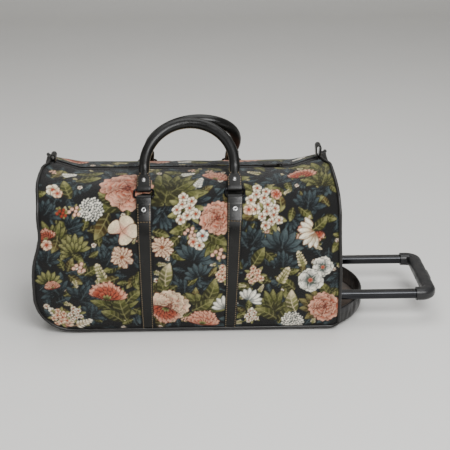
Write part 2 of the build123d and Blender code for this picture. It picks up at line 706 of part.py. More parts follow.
def make_base():
    """Base board inside the bag, and the runners under it."""
    low = BASE_HEIGHT + WALL
    right = HALF_LENGTH - HANDLE_CORNER_RADIUS - BOARD_MARGIN
    left = HOUSING_END + BOARD_MARGIN + SOCKET_LENGTH
    board = LINING & slab(left, right, -REACH, REACH, low, low + BOARD_THICKNESS)
    half = RUNNER_WIDTH / 2
    foot = half - RUNNER_CHAMFER
    corners = [(-half, BASE_HEIGHT), (half, BASE_HEIGHT), (half, RUNNER_CHAMFER), (foot, 0), (-foot, 0)]
    corners.append((-half, RUNNER_CHAMFER))
    runner = make_face(Polyline(*corners, close=True))
    runner = extrude(Plane.YZ.offset(RUNNER_START) * runner, RUNNER_END - RUNNER_START)
    runners = [Pos(0, step * RUNNER_SPACING, 0) * runner for step in (-1, 0, 1)]
    return {"base_board": board, "base_runners": Compound(children=runners)}


def pouch_plan(grow):
    """Plan of the pouch, grown by an amount: a bow that starts under the end panel."""
    half = POUCH_WIDTH / 2 + grow
    front = HALF_LENGTH + POUCH_DEPTH + grow
    back = HALF_LENGTH - HANDLE_CORNER_RADIUS
    bow = ThreePointArc((HALF_LENGTH, -half), (front, 0), (HALF_LENGTH, half))
    chord = Polyline((HALF_LENGTH, half), (back, half), (back, -half), (HALF_LENGTH, -half))
    return make_face([bow, *chord.edges()])


def pouch_layer(grow, low, high):
    """Slice of the pouch's plan between two heights."""
    return extrude(Pos(0, 0, low) * pouch_plan(grow), high - low)


def make_pouch():
    """Bowed pouch on the handle end, open at the top, with a zip tape round its lip."""
    pouch = pouch_layer(0, BASE_HEIGHT, POUCH_LIP)
    pouch -= pouch_layer(-POUCH_WALL, BASE_HEIGHT + POUCH_WALL, REACH)
    tape_low = POUCH_LIP - POUCH_TAPE_WIDTH
    tape = pouch_layer(POUCH_TAPE_THICKNESS, tape_low, POUCH_LIP) - pouch_layer(0, tape_low, REACH)
    bag = profile(SEAM_GAP)
    return {"grip_pouch": pouch - bag, "pouch_zip_tape": tape - bag}


MAKERS = (
    make_panels,
    make_gusset,
    make_piping,
    make_zip,
    make_slider,
    make_pull,
    make_tabs,
    make_straps,
    make_handles,
    make_tubes,
    make_bezel,
    make_grip,
    make_brace,
    make_wheels,
    make_base,
    make_pouch,
)

os.makedirs("parts", exist_ok=True)
for maker in MAKERS:
    for node, piece in maker().items():
        export_step(piece, os.path.join("parts", node + ".step"))
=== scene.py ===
"""Wheeled carpet bag: the cloth, leather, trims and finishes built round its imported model, in metres."""

import math

import bmesh
import bpy
import numpy as np
from bpy.props import FloatProperty, FloatVectorProperty, IntProperty, PointerProperty
from mathutils import Matrix, Vector, noise
from mathutils.bvhtree import BVHTree


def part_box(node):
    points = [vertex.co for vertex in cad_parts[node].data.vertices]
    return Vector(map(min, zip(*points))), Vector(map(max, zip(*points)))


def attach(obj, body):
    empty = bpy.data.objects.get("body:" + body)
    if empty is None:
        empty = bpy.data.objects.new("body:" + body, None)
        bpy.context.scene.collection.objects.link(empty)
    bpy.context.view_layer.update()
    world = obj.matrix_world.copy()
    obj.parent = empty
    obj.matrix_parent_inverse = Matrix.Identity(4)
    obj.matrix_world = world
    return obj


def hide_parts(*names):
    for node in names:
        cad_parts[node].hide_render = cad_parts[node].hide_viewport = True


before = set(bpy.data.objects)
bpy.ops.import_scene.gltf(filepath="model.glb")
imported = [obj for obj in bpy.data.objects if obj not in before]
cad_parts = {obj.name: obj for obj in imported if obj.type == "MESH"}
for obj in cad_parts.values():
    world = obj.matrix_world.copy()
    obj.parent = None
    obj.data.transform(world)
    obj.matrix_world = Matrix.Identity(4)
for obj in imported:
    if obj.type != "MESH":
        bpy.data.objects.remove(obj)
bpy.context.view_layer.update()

bl_info = {
    "name": "Carpet bag",
    "version": (1, 0, 0),
    "blender": (4, 5, 0),
    "location": "View3D > Sidebar > Carpet bag",
    "description": "Builds the soft goods and finishes of a wheeled carpet bag",
    "category": "Object",
}

MM = 0.001
TAU = math.tau
# Rays start this far out, clear of the bag
FAR = 0.6
ALONG = np.array([1.0, 0.0, 0.0])
ACROSS = np.array([0.0, 1.0, 0.0])
UP = np.array([0.0, 0.0, 1.0])
PICTURE_WIDTH = 450
SENSOR_WIDTH = 36.0
SIDES = {"front": -1, "back": 1}


def linear(red, green, blue):
    """Scene-linear colour of a screen colour given from 0 to 255."""
    return tuple(((share / 255 + 0.055) / 1.055) ** 2.4 for share in (red, green, blue))


def colour(name, description, *screen):
    """A colour that a user may change, from its screen values."""
    return FloatVectorProperty(
        name=name, description=description, subtype="COLOR", size=3, min=0, max=1, default=linear(*screen)
    )


def length(name, description, millimetres):
    """A length that a user may change, from its millimetres."""
    return FloatProperty(
        name=name, description=description, unit="LENGTH", precision=5, default=millimetres * MM
    )


def angle(name, description, degrees):
    """An angle that a user may change, from its degrees."""
    return FloatProperty(name=name, description=description, subtype="ANGLE", default=math.radians(degrees))


def amount(name, description, default):
    """A plain number that a user may change."""
    return FloatProperty(name=name, description=description, default=default)


class TapestryCloth(bpy.types.PropertyGroup):
    """The flowered cloth of the two big panels."""

    pitch: length("Grid pitch", "Spacing of the cloth's woven colour points", 1.55)
    belly: length("Belly", "How far the cloth swells between seams and straps", 4.5)
    slack: length("Slack", "Depth of the cloth's soft unevenness", 1.3)
    pucker: length("Pucker", "Depth of the gathers along the seams", 0.5)
    thread: length("Thread", "Spacing of the weave's ribs", 0.95)
    seed: IntProperty(name="Seed", description="Seed of the scattered leaves and florets", default=11)
    ground: colour("Ground", "Near-black ground of the weave", 20, 20, 20)
    slate: colour("Slate", "Blue-grey foliage", 40, 50, 54)
    mist: colour("Mist", "Lights of the blue-grey foliage", 78, 91, 93)
    moss: colour("Moss", "Shadows of the green leaves", 42, 40, 18)
    olive: colour("Olive", "Green leaves", 77, 80, 34)
    bronze: colour("Bronze", "Brown leaves", 86, 67, 31)
    sage: colour("Sage", "Pale green leaves and sprigs", 146, 143, 92)
    cream: colour("Cream", "Cream blossoms", 238, 220, 182)
    fawn: colour("Fawn", "Shadows of the cream blossoms", 140, 96, 60)
    blush: colour("Blush", "Pale pink blossoms", 226, 180, 153)
    salmon: colour("Salmon", "Salmon peonies", 180, 102, 78)
    rust: colour("Rust", "Rust petals and flower hearts", 144, 54, 32)
    umber: colour("Umber", "Darkest petal shadows", 74, 26, 18)
    white: colour("White", "White blossoms", 246, 241, 224)


class LeatherTrim(bpy.types.PropertyGroup):
    """Straps, handles, tabs, piping and vinyl."""

    strap: colour("Strap leather", "Black strap leather", 11, 11, 10)
    vinyl: colour("Vinyl", "Black vinyl of the gusset, piping and pouch", 16, 15, 14)
    thread: colour("Thread", "Tan stitching thread", 150, 126, 88)
    stitch: length("Stitch", "Length of one stitch", 2.9)
    stitch_pitch: length("Stitch pitch", "Spacing of the stitches", 4.3)
    stitch_width: length("Stitch width", "Thickness of the thread", 0.85)
    inset: length("Inset", "Distance of a stitch row from a strap's edge", 2.6)
    piping: length("Piping radius", "Radius of the seam piping", 3.0)
    front_sway: length("Front handle sway", "How far the front carry handle leans along the bag", 2.0)
    back_sway: length("Back handle sway", "How far the back carry handle leans along the bag", 19.0)


class HardFittings(bpy.types.PropertyGroup):
    """Metal and plastic parts."""

    tube: colour("Trolley tube", "Satin dark tube", 42, 43, 46)
    outer_tube: colour("Outer tube", "Bare tube inside the bag", 150, 150, 152)
    rivet: colour("Rivet", "Nickel rivets", 196, 196, 196)
    ring: colour("Ring", "Black lacquered rings", 28, 28, 30)
    zip_metal: colour("Zip metal", "Blackened metal of the zip", 46, 44, 42)
    plastic: colour("Plastic", "Moulded black plastic", 26, 26, 28)
    rubber: colour("Rubber", "Wheel tyres", 34, 34, 35)
    tooth_pitch: length("Tooth pitch", "Spacing of the zip's teeth on one side", 2.5)


class StudioStage(bpy.types.PropertyGroup):
    """Camera, floor and lights."""

    focal: amount("Focal length", "Focal length in picture pixels", 1100.0)
    yaw: angle("Yaw", "Camera heading", 1.57)
    pitch: angle("Pitch", "Camera tilt", 20.6)
    roll: angle("Roll", "Camera roll", -0.22)
    distance: length("Distance", "Camera to target", 2120.0)
    target_x: length("Target X", "Target along the bag", 72.5)
    target_z: length("Target Z", "Target height", 165.0)
    floor: colour("Floor", "Pale studio floor", 226, 225, 222)
    key: amount("Key light", "Power of the main light", 84.0)
    fill: amount("Fill light", "Power of the fill light", 10.0)
    top: amount("Top light", "Power of the overhead light", 34.0)
    world: amount("Room light", "Strength of the room's light", 0.3)


GROUPS = {
    "carpet_bag_cloth": TapestryCloth,
    "carpet_bag_leather": LeatherTrim,
    "carpet_bag_fittings": HardFittings,
    "carpet_bag_stage": StudioStage,
}


def cloth():
    """The cloth settings of the scene."""
    return bpy.context.scene.carpet_bag_cloth


def leather():
    """The leather settings of the scene."""
    return bpy.context.scene.carpet_bag_leather


def fittings():
    """The metal and plastic settings of the scene."""
    return bpy.context.scene.carpet_bag_fittings


# Finishes

class NodeTree:
    """A node tree under construction."""

    # What the names of its node types start with
    prefix = ""

    def feed(self, node, inputs):
        """Sets or links a node's inputs by name or place."""
        for key, value in inputs.items():
            if isinstance(value, bpy.types.NodeSocket):
                self.tree.links.new(value, node.inputs[key])
            else:
                node.inputs[key].default_value = value

    def node(self, kind, inputs=None, **settings):
        """Adds a node with its settings and inputs."""
        made = self.tree.nodes.new(self.prefix + kind)
        for key, value in settings.items():
            setattr(made, key, value)
        self.feed(made, inputs or {})
        return made


class Finish(NodeTree):
    """A procedural material: a Principled shader and the nodes that feed it."""

    prefix = "ShaderNode"

    def __init__(self, name, base, roughness, **sockets):
        self.material = bpy.data.materials.new(name)
        self.material.use_nodes = True
        self.tree = self.material.node_tree
        self.shader = self.tree.nodes["Principled BSDF"]
        self.feed(self.shader, {"Base Color": (*base, 1.0), "Roughness": roughness})
        self.feed(self.shader, {key.replace("_", " "): value for key, value in sockets.items()})
        self.base = (*base, 1.0)

    def place(self):
        """Object coordinates."""
        return self.node("TexCoord").outputs["Object"]

    def math(self, operation, first, second=0.0):
        """One arithmetic node."""
        return self.node("Math", {0: first, 1: second}, operation=operation).outputs[0]

    def noise(self, scale, detail=3.0, roughness=0.5, vector=None):
        """Noise strength over the piece."""
        inputs = {"Vector": vector or self.place(), "Scale": scale}
        inputs.update(Detail=detail, Roughness=roughness)
        return self.node("TexNoise", inputs).outputs["Fac"]

    def cells(self, scale):
        """Distance inside small cells, as in leather grain."""
        return self.node("TexVoronoi", {"Vector": self.place(), "Scale": scale}).outputs["Distance"]

    def waves(self, direction, scale, distortion):
        """Ribs across a direction."""
        inputs = {"Vector": self.place(), "Scale": scale, "Distortion": distortion}
        return self.node("TexWave", inputs, bands_direction=direction).outputs["Fac"]

    def stretched(self, vector, *scale):
        """Coordinates drawn out by a factor on each axis."""
        return self.node("Mapping", {"Vector": vector, "Scale": scale}).outputs["Vector"]

    def spread(self, value, low, high):
        """A noise's usual range stretched to run from low to high."""
        inputs = {"Value": value, "From Min": 0.3, "From Max": 0.7, "To Min": low, "To Max": high}
        return self.node("MapRange", inputs).outputs["Result"]

    def tint(self, strength, first, second, blend="MIX"):
        """Mixes two colours."""
        made = self.node("Mix", {0: strength, 6: first, 7: second}, data_type="RGBA", blend_type=blend)
        return made.outputs[2]

    def relief(self, height, distance, strength=1.0):
        """Adds a bump over those already there."""
        bump = self.node("Bump", {"Height": height, "Distance": distance, "Strength": strength})
        earlier = self.shader.inputs["Normal"].links
        if earlier:
            self.tree.links.new(earlier[0].from_socket, bump.inputs["Normal"])
        self.feed(self.shader, {"Normal": bump.outputs["Normal"]})

    def mottle(self, scale, darker, lighter):
        """Varies the base colour between a darker and a lighter multiple of it."""
        low = [share * darker for share in self.base[:3]] + [1.0]
        high = [share * lighter for share in self.base[:3]] + [1.0]
        strength = self.spread(self.noise(scale, 4.0), 0.0, 1.0)
        self.feed(self.shader, {"Base Color": self.tint(strength, low, high)})

    def polish(self, scale, low, high):
        """Varies the roughness."""
        self.feed(self.shader, {"Roughness": self.spread(self.noise(scale, 3.0), low, high)})


WOVEN = "woven_colour"


def tapestry_finish():
    """Jacquard tapestry: the woven colours, ribbed by the weft and flecked thread by thread."""
    group = cloth()
    finish = Finish("tapestry_weave", group.ground, 0.86, Sheen_Weight=0.12, Sheen_Roughness=0.5)
    finish.feed(finish.shader, {"Specular IOR Level": 0.22})
    woven = finish.node("VertexColor", layer_name=WOVEN).outputs["Color"]
    chart = finish.node("TexCoord").outputs["UV"]
    axes = finish.node("SeparateXYZ", {"Vector": chart}).outputs
    ribs = finish.math("SINE", finish.math("MULTIPLY", axes["Y"], TAU / group.thread))
    picks = finish.math("SINE", finish.math("MULTIPLY", axes["X"], TAU / (group.thread * 1.3)))
    crossing = finish.math("MULTIPLY", ribs, picks)
    flecks = finish.noise(1.0, 2.0, 0.6, finish.stretched(chart, 260.0, 900.0, 1.0))
    shaded = finish.tint(1.0, woven, finish.spread(flecks, 0.66, 1.22), "MULTIPLY")
    pale = finish.spread(finish.noise(9.0, 2.0), 0.9, 1.08)
    finish.feed(finish.shader, {"Base Color": finish.tint(1.0, shaded, pale, "MULTIPLY")})
    finish.relief(crossing, distance=0.22 * MM, strength=0.7)
    finish.relief(flecks, distance=0.5 * MM, strength=0.5)
    return finish.material


def vinyl_finish():
    """Supple black vinyl with a pebbled grain and soft creases."""
    finish = Finish("grained_vinyl", leather().vinyl, 0.42, Coat_Weight=0.08, Coat_Roughness=0.3)
    finish.feed(finish.shader, {"Specular IOR Level": 0.45})
    finish.mottle(scale=14.0, darker=0.7, lighter=1.6)
    finish.polish(scale=40.0, low=0.3, high=0.5)
    finish.relief(finish.cells(850.0), distance=0.25 * MM, strength=0.5)
    finish.relief(finish.noise(55.0, 4.0), distance=1.4 * MM, strength=0.5)
    return finish.material


def strap_finish():
    """Semi-gloss black leather with a fine grain and rubbed patches."""
    finish = Finish("strap_leather", leather().strap, 0.34, Coat_Weight=0.08, Coat_Roughness=0.16)
    finish.feed(finish.shader, {"Specular IOR Level": 0.3})
    finish.mottle(scale=22.0, darker=0.65, lighter=1.9)
    finish.polish(scale=26.0, low=0.2, high=0.42)
    finish.relief(finish.cells(1300.0), distance=0.16 * MM, strength=0.5)
    finish.relief(finish.noise(120.0, 3.0), distance=0.5 * MM, strength=0.4)
    return finish.material


def thread_finish():
    """Waxed tan thread."""
    finish = Finish("stitch_thread", leather().thread, 0.6, Sheen_Weight=0.2)
    finish.mottle(scale=300.0, darker=0.75, lighter=1.2)
    finish.relief(finish.noise(2600.0, 2.0), distance=0.15 * MM, strength=0.6)
    return finish.material


def tape_finish():
    """Black woven tape with a herringbone rib."""
    finish = Finish("zip_tape", linear(25, 24, 24), 0.85, Sheen_Weight=0.2, Sheen_Roughness=0.5)
    finish.mottle(scale=60.0, darker=0.7, lighter=1.6)
    rib = finish.waves("X", 260.0, 1.5)
    twill = finish.waves("DIAGONAL", 200.0, 1.0)
    finish.relief(rib, distance=0.25 * MM, strength=0.7)
    finish.relief(twill, distance=0.2 * MM, strength=0.5)
    return finish.material


def metal_finish(name, base, low, high, darker=0.85, lighter=1.15):
    """Metal with hazy handling marks."""
    finish = Finish(name, base, low, Metallic=1.0)
    finish.mottle(scale=30.0, darker=darker, lighter=lighter)
    finish.polish(scale=90.0, low=low, high=high)
    finish.relief(finish.noise(900.0, 2.0), distance=0.04 * MM, strength=0.4)
    return finish.material


def drawn_tube_finish(name, base):
    """Tube with fine lines drawn along its length."""
    finish = Finish(name, base, 0.24, Metallic=1.0, Coat_Weight=0.35, Coat_Roughness=0.08)
    drawn = finish.noise(1.0, 2.0, 0.5, finish.stretched(finish.place(), 6.0, 1400.0, 1400.0))
    finish.mottle(scale=18.0, darker=0.85, lighter=1.15)
    finish.feed(finish.shader, {"Roughness": finish.spread(drawn, 0.16, 0.34)})
    finish.relief(drawn, distance=0.05 * MM, strength=0.4)
    return finish.material


def moulded_finish(name, base, roughness, grain):
    """Moulded plastic or rubber with a fine spark-eroded grain."""
    finish = Finish(name, base, roughness)
    finish.mottle(scale=25.0, darker=0.75, lighter=1.35)
    finish.polish(scale=60.0, low=roughness - 0.08, high=roughness + 0.12)
    finish.relief(finish.noise(grain, 3.0, 0.6), distance=0.15 * MM, strength=0.5)
    return finish.material


def lining_finish():
    """Brown lining cloth, creased and dull."""
    finish = Finish("pouch_lining", linear(66, 54, 44), 0.8, Sheen_Weight=0.15)
    finish.mottle(scale=70.0, darker=0.6, lighter=1.3)
    finish.relief(finish.noise(90.0, 4.0), distance=1.5 * MM, strength=0.6)
    return finish.material


def board_finish():
    """Dark pressed fibreboard."""
    finish = Finish("fibreboard", linear(62, 50, 40), 0.8)
    finish.mottle(scale=240.0, darker=0.6, lighter=1.4)
    finish.relief(finish.noise(700.0, 4.0), distance=0.3 * MM, strength=0.6)
    return finish.material


def floor_finish():
    """Matt pale studio paper."""
    finish = Finish("studio_paper", bpy.context.scene.carpet_bag_stage.floor, 0.9)
    finish.mottle(scale=3.0, darker=0.99, lighter=1.01)
    finish.relief(finish.noise(400.0, 2.0), distance=0.05 * MM, strength=0.2)
    return finish.material


# Finishes made so far, by slot
MADE = {}


def finish_of(slot):
    """The material of a record slot, or of the stitching and floor, made once."""
    makers = {
        "tapestry": tapestry_finish,
        "vinyl": vinyl_finish,
        "strap_leather": strap_finish,
        "thread": thread_finish,
        "zip_tape": tape_finish,
        "zip_metal": lambda: metal_finish("blackened_zip", fittings().zip_metal, 0.28, 0.5, 0.6, 1.25),
        "ring_metal": lambda: metal_finish("black_lacquer_ring", fittings().ring, 0.2, 0.36, 0.7, 1.6),
        "rivet_metal": lambda: metal_finish("nickel_rivet", fittings().rivet, 0.16, 0.34),
        "tube_metal": lambda: drawn_tube_finish("satin_tube", fittings().tube),
        "outer_tube_metal": lambda: drawn_tube_finish("bare_tube", fittings().outer_tube),
        "axle_steel": lambda: metal_finish("axle_steel", linear(170, 170, 172), 0.25, 0.45),
        "grip_plastic": lambda: moulded_finish("grip_plastic", fittings().plastic, 0.36, 1500.0),
        "housing_plastic": lambda: moulded_finish("housing_plastic", fittings().plastic, 0.5, 1100.0),
        "hub_plastic": lambda: moulded_finish("hub_plastic", linear(58, 58, 60), 0.45, 1100.0),
        "tyre": lambda: moulded_finish("tyre_rubber", fittings().rubber, 0.66, 700.0),
        "board": board_finish,
        "lining": lining_finish,
        "floor": floor_finish,
    }
    if slot not in MADE:
        MADE[slot] = makers[slot]()
    return MADE[slot]


# Meshes

def unit(vectors):
    """Vectors brought to length one."""
    return vectors / np.maximum(np.linalg.norm(vectors, axis=-1, keepdims=True), 1e-12)


def smooth_step(value):
    """Rises from 0 to 1 without corners."""
    value = np.clip(value, 0.0, 1.0)
    return value * value * (3 - 2 * value)


def ray_tree(node):
    """A CAD node's surface for casting rays at."""
    return mesh_tree(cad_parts[node].data)


def mesh_tree(mesh):
    """A mesh's surface for casting rays at."""
    return BVHTree.FromPolygons(
        [vertex.co.copy() for vertex in mesh.vertices], [tuple(face.vertices) for face in mesh.polygons]
    )


WALK_STEPS = 60
HALVINGS = 24


def last_hit(test, inside, outside):
    """The furthest value from inside to outside that still meets the surface, walking in from outside."""
    low, high = inside, outside
    for step in range(WALK_STEPS):
        value = outside + (inside - outside) * step / WALK_STEPS
        if test(value):
            low = value
            break
        high = value
    for _ in range(HALVINGS):
        middle = (low + high) / 2
        if test(middle):
            low = middle
        else:
            high = middle
    return low


def grid_faces(rows, columns, ring=False):
    """Quads of a grid of points, closed round its columns if it is a ring."""
    first = np.arange(rows * columns).reshape(rows, columns)
    if ring:
        first = np.concatenate([first, first[:, :1]], axis=1)
    quads = np.stack([first[:-1, :-1], first[:-1, 1:], first[1:, 1:], first[1:, :-1]], axis=-1)
    return quads.reshape(-1, 4)


def new_piece(name, points, faces, slot, closed=True):
    """A smooth-shaded mesh object with one finish; a closed shell has its faces turned outwards."""
    mesh = bpy.data.meshes.new(name)
    mesh.from_pydata(np.asarray(points).tolist(), [], [list(map(int, face)) for face in faces])
    if closed:
        shell = bmesh.new()
        shell.from_mesh(mesh)
        bmesh.ops.recalc_face_normals(shell, faces=shell.faces)
        shell.to_mesh(mesh)
        shell.free()
    mesh.polygons.foreach_set("use_smooth", np.ones(len(mesh.polygons), dtype=bool))
    mesh.update()
    piece = bpy.data.objects.new(name, mesh)
    bpy.context.scene.collection.objects.link(piece)
    mesh.materials.append(finish_of(slot))
    return piece


def put(piece, body, slot, *nodes):
    """Ties a finished piece to its body and hides the CAD nodes that it stands for; its record slot is not
    used.
    """
    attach(piece, body)
    if nodes:
        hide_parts(*nodes)
    return piece


def merged(parts):
    """Points and faces of several shells as one."""
    points, faces, start = [], [], 0
    for part_points, part_faces in parts:
        points.append(np.asarray(part_points))
        faces.extend([[index + start for index in face] for face in part_faces])
        start += len(part_points)
    return np.concatenate(points), faces


def run_frames(path, across):
    """Directions along and square to a path, given the way its width runs."""
    along = unit(np.gradient(path, axis=0))
    across = np.broadcast_to(np.asarray(across, float), path.shape)
    across = unit(across - along * (along * across).sum(1, keepdims=True))
    return along, across, np.cross(across, along)


def swept(path, across, sections):
    """A closed shell that carries changing sections, given as width and height points, along a path."""
    _, wide, high = run_frames(path, across)
    points = path[:, None] + sections[..., :1] * wide[:, None] + sections[..., 1:] * high[:, None]
    rows, columns = sections.shape[:2]
    faces = grid_faces(rows, columns, ring=True).tolist()
    faces.append(list(range(columns)))
    faces.append(list(range((rows - 1) * columns, rows * columns))[::-1])
    return points.reshape(-1, 3), faces


def oval(half_width, half_height, squareness=2.0, count=24):
    """Section between an ellipse and a rounded box."""
    turn = np.arange(count) / count * TAU
    power = 2.0 / squareness
    wide = np.sign(np.cos(turn)) * np.abs(np.cos(turn)) ** power
    high = np.sign(np.sin(turn)) * np.abs(np.sin(turn)) ** power
    return np.stack([wide * half_width, high * half_height], axis=-1)


EDGE_SHARE = 0.42
EDGE_TURNS = 5
CROWN_SHARES = (0.54, 0.56, 0.54)


def band_section(width, thickness):
    """Section of a leather band with burnished round edges and a slightly crowned face."""
    radius = thickness * EDGE_SHARE
    corners = []
    for quarter, (side, level) in enumerate(((1, 1), (-1, 1), (-1, -1), (1, -1))):
        turn = (quarter + np.linspace(0, 1, EDGE_TURNS)) * TAU / 4
        centre = np.array([side * (width / 2 - radius), level * (thickness / 2 - radius)])
        corners.append(centre + radius * np.stack([np.cos(turn), np.sin(turn)], axis=-1))
    places = (width / 4, 0.0, -width / 4)
    crown = np.array([[place, thickness * share] for place, share in zip(places, CROWN_SHARES)])
    return np.concatenate([corners[0], crown, *corners[1:]])


def mirrored(sign):
    """Factors that take the front's points to the side of that sign."""
    return np.array([1.0, -sign, 1.0])


def even_run(path, spacing):
    """A path resampled at even steps."""
    steps = np.concatenate([[0], np.cumsum(np.linalg.norm(np.diff(path, axis=0), axis=1))])
    count = max(2, int(round(steps[-1] / spacing)) + 1)
    places = np.linspace(0, steps[-1], count)
    return np.stack([np.interp(places, steps, path[:, axis]) for axis in range(3)], axis=-1)


# Geometry Nodes for stitches, teeth and rivets

class NodeRun(NodeTree):
    """A Geometry Nodes tree with named inputs."""

    def __init__(self, name, inputs):
        self.tree = bpy.data.node_groups.new(name, "GeometryNodeTree")
        sockets = self.tree.interface
        sockets.new_socket("Geometry", in_out="INPUT", socket_type="NodeSocketGeometry")
        for title, kind in inputs.items():
            sockets.new_socket(title, in_out="INPUT", socket_type="NodeSocket" + kind)
        sockets.new_socket("Geometry", in_out="OUTPUT", socket_type="NodeSocketGeometry")
        self.given = self.node("NodeGroupInput").outputs

    def close(self, points, shape, rotation, scale):
        """Sets a shape on points and ends the tree in real, finished geometry."""
        inputs = {"Points": points, "Instance": shape, "Rotation": rotation, "Scale": scale}
        placed = self.node("GeometryNodeInstanceOnPoints", inputs)
        real = self.node("GeometryNodeRealizeInstances", {"Geometry": placed.outputs[0]})
        smooth = self.node("GeometryNodeSetShadeSmooth", {"Geometry": real.outputs[0]})
        inputs = {"Geometry": smooth.outputs[0], "Material": self.given["Finish"]}
        dressed = self.node("GeometryNodeSetMaterial", inputs)
        self.node("NodeGroupOutput", {"Geometry": dressed.outputs[0]})
        return self.tree


def along_paths_tree(shape):
    """Tree that sets a small shape, lying along Z, at even steps on edge paths."""
    run = NodeRun(shape + "_rows", {"Pitch": "Float", "Size": "Vector", "Finish": "Material"})
    line = run.node("GeometryNodeMeshToCurve", {"Mesh": run.given["Geometry"]})
    inputs = {"Curve": line.outputs[0], "Length": run.given["Pitch"]}
    points = run.node("GeometryNodeCurveToPoints", inputs, mode="LENGTH")
    turned = run.node("FunctionNodeAlignRotationToVector", {"Vector": points.outputs["Tangent"]}, axis="Z")
    if shape == "stitch":
        unit_shape = run.node("GeometryNodeMeshUVSphere", {"Segments": 8, "Rings": 5, "Radius": 0.5})
    else:
        unit_shape = run.node("GeometryNodeMeshCube", {"Size": (1.0, 1.0, 1.0)})
    places, rotation = points.outputs["Points"], turned.outputs[0]
    return run.close(places, unit_shape.outputs["Mesh"], rotation, run.given["Size"])


def rivet_tree(shape):
    """Tree that sets a domed or a ring-shaped head on each point, facing its stored direction."""
    run = NodeRun(shape + "_heads", {"Radius": "Float", "Height": "Float", "Finish": "Material"})
    facing = run.node("GeometryNodeInputNamedAttribute", {"Name": "facing"}, data_type="FLOAT_VECTOR")
    turned = run.node("FunctionNodeAlignRotationToVector", {"Vector": facing.outputs[0]}, axis="Z")
    radius, height = run.given["Radius"], run.given["Height"]
    size = run.node("ShaderNodeCombineXYZ", {"X": radius, "Y": radius, "Z": height})
    head = run.node("GeometryNodeJoinGeometry")
    if shape == "ring":
        circle = run.node("GeometryNodeCurvePrimitiveCircle", {"Resolution": 32, "Radius": 0.68})
        section = run.node("GeometryNodeCurvePrimitiveCircle", {"Resolution": 12, "Radius": 0.32})
        inputs = {"Curve": circle.outputs["Curve"], "Profile Curve": section.outputs["Curve"]}
        run.tree.links.new(run.node("GeometryNodeCurveToMesh", inputs).outputs["Mesh"], head.inputs[0])
    else:
        dome = run.node("GeometryNodeMeshUVSphere", {"Segments": 24, "Rings": 12, "Radius": 0.8})
        rim = run.node("GeometryNodeMeshCylinder", {"Vertices": 24, "Radius": 1.0, "Depth": 0.5})
        run.tree.links.new(rim.outputs["Mesh"], head.inputs[0])
        run.tree.links.new(dome.outputs["Mesh"], head.inputs[0])
    return run.close(run.given["Geometry"], head.outputs[0], turned.outputs[0], size.outputs[0])


def grown(name, carrier, tree, values):
    """The plain mesh object that a tree makes on a carrier mesh."""
    seed = bpy.data.objects.new(name + "_carrier", carrier)
    bpy.context.scene.collection.objects.link(seed)
    modifier = seed.modifiers.new("grow", "NODES")
    modifier.node_group = tree
    for item in tree.interface.items_tree:
        if item.in_out == "INPUT" and item.name in values:
            modifier[item.identifier] = values[item.name]
    evaluated = seed.evaluated_get(bpy.context.evaluated_depsgraph_get())
    mesh = bpy.data.meshes.new_from_object(evaluated)
    bpy.data.objects.remove(seed)
    mesh.name = name
    piece = bpy.data.objects.new(name, mesh)
    bpy.context.scene.collection.objects.link(piece)
    return piece


# Node trees made so far, by the shape that they repeat
TREES = {}


def path_mesh(name, paths):
    """A mesh of edge paths."""
    points, edges, start = [], [], 0
    for path in paths:
        points.extend(path.tolist())
        edges.extend((start + step, start + step + 1) for step in range(len(path) - 1))
        start += len(path)
    mesh = bpy.data.meshes.new(name)
    mesh.from_pydata(points, edges, [])
    return mesh


def in_rows(name, paths, shape, pitch, size, finish):
    """Small shapes in rows along paths, as one piece."""
    if shape not in TREES:
        TREES[shape] = along_paths_tree(shape)
    values = {"Pitch": pitch, "Size": size, "Finish": finish_of(finish)}
    return grown(name, path_mesh(name, paths), TREES[shape], values)


STITCH_LIFT = 0.1 * MM


def stitched(name, paths, body, slot="strap_leather", thread="thread"):
    """Rows of stitches along paths, as one piece."""
    group = leather()
    size = (group.stitch_width, group.stitch_width, group.stitch)
    runs = [even_run(path, MM) for path in paths]
    put(in_rows(name, runs, "stitch", group.stitch_pitch, size, thread), body, slot)


TOOTH_SIZE = (1.5 * MM, 2.5 * MM, 1.15 * MM)


def toothed(name, paths, *nodes):
    """Rows of a zip's teeth along paths, as one piece."""
    piece = in_rows(name, paths, "tooth", fittings().tooth_pitch, TOOTH_SIZE, "zip_metal")
    put(piece, "bag", "zip_metal", *nodes)


# The woven flowers

THREAD_BLEND = 1.2 * MM
CONTOUR = 1.5 * MM
RIB_WIDTH = 0.9 * MM
EDGE_WIDTH = 1.2 * MM
STEM_WIDTH = 1.8 * MM
# How far a petal's root may lie from the points that it covers, as a share of its length
PETAL_REACH_SHARE = 1.25
RUFFLE_WAVES = 7.0
VEIN_STRENGTH = 0.4
RIB_STRENGTH = 0.8
EDGE_STRENGTH = 0.85
GOLDEN_TURN = TAU * 0.381966
# Rings of petals, the outermost first: length as a share of the flower's radius, number, and width likewise
PEONY_SHARES = ((1.0, 7, 0.8), (0.82, 6, 0.7), (0.64, 5, 0.6), (0.46, 4, 0.5), (0.28, 3, 0.34))
DAISY_SHARES = ((1.0, 15, 0.26), (0.74, 12, 0.22), (0.46, 9, 0.18))
ANEMONE_SHARES = ((1.0, 6, 0.86), (0.8, 5, 0.7))
# Layers of a carnation, the outermost first: length, number, spread in radians and width
CARNATION_SHARES = ((1.4, 9, 1.15, 0.5), (1.08, 7, 1.1, 0.46), (0.72, 5, 0.8, 0.36))
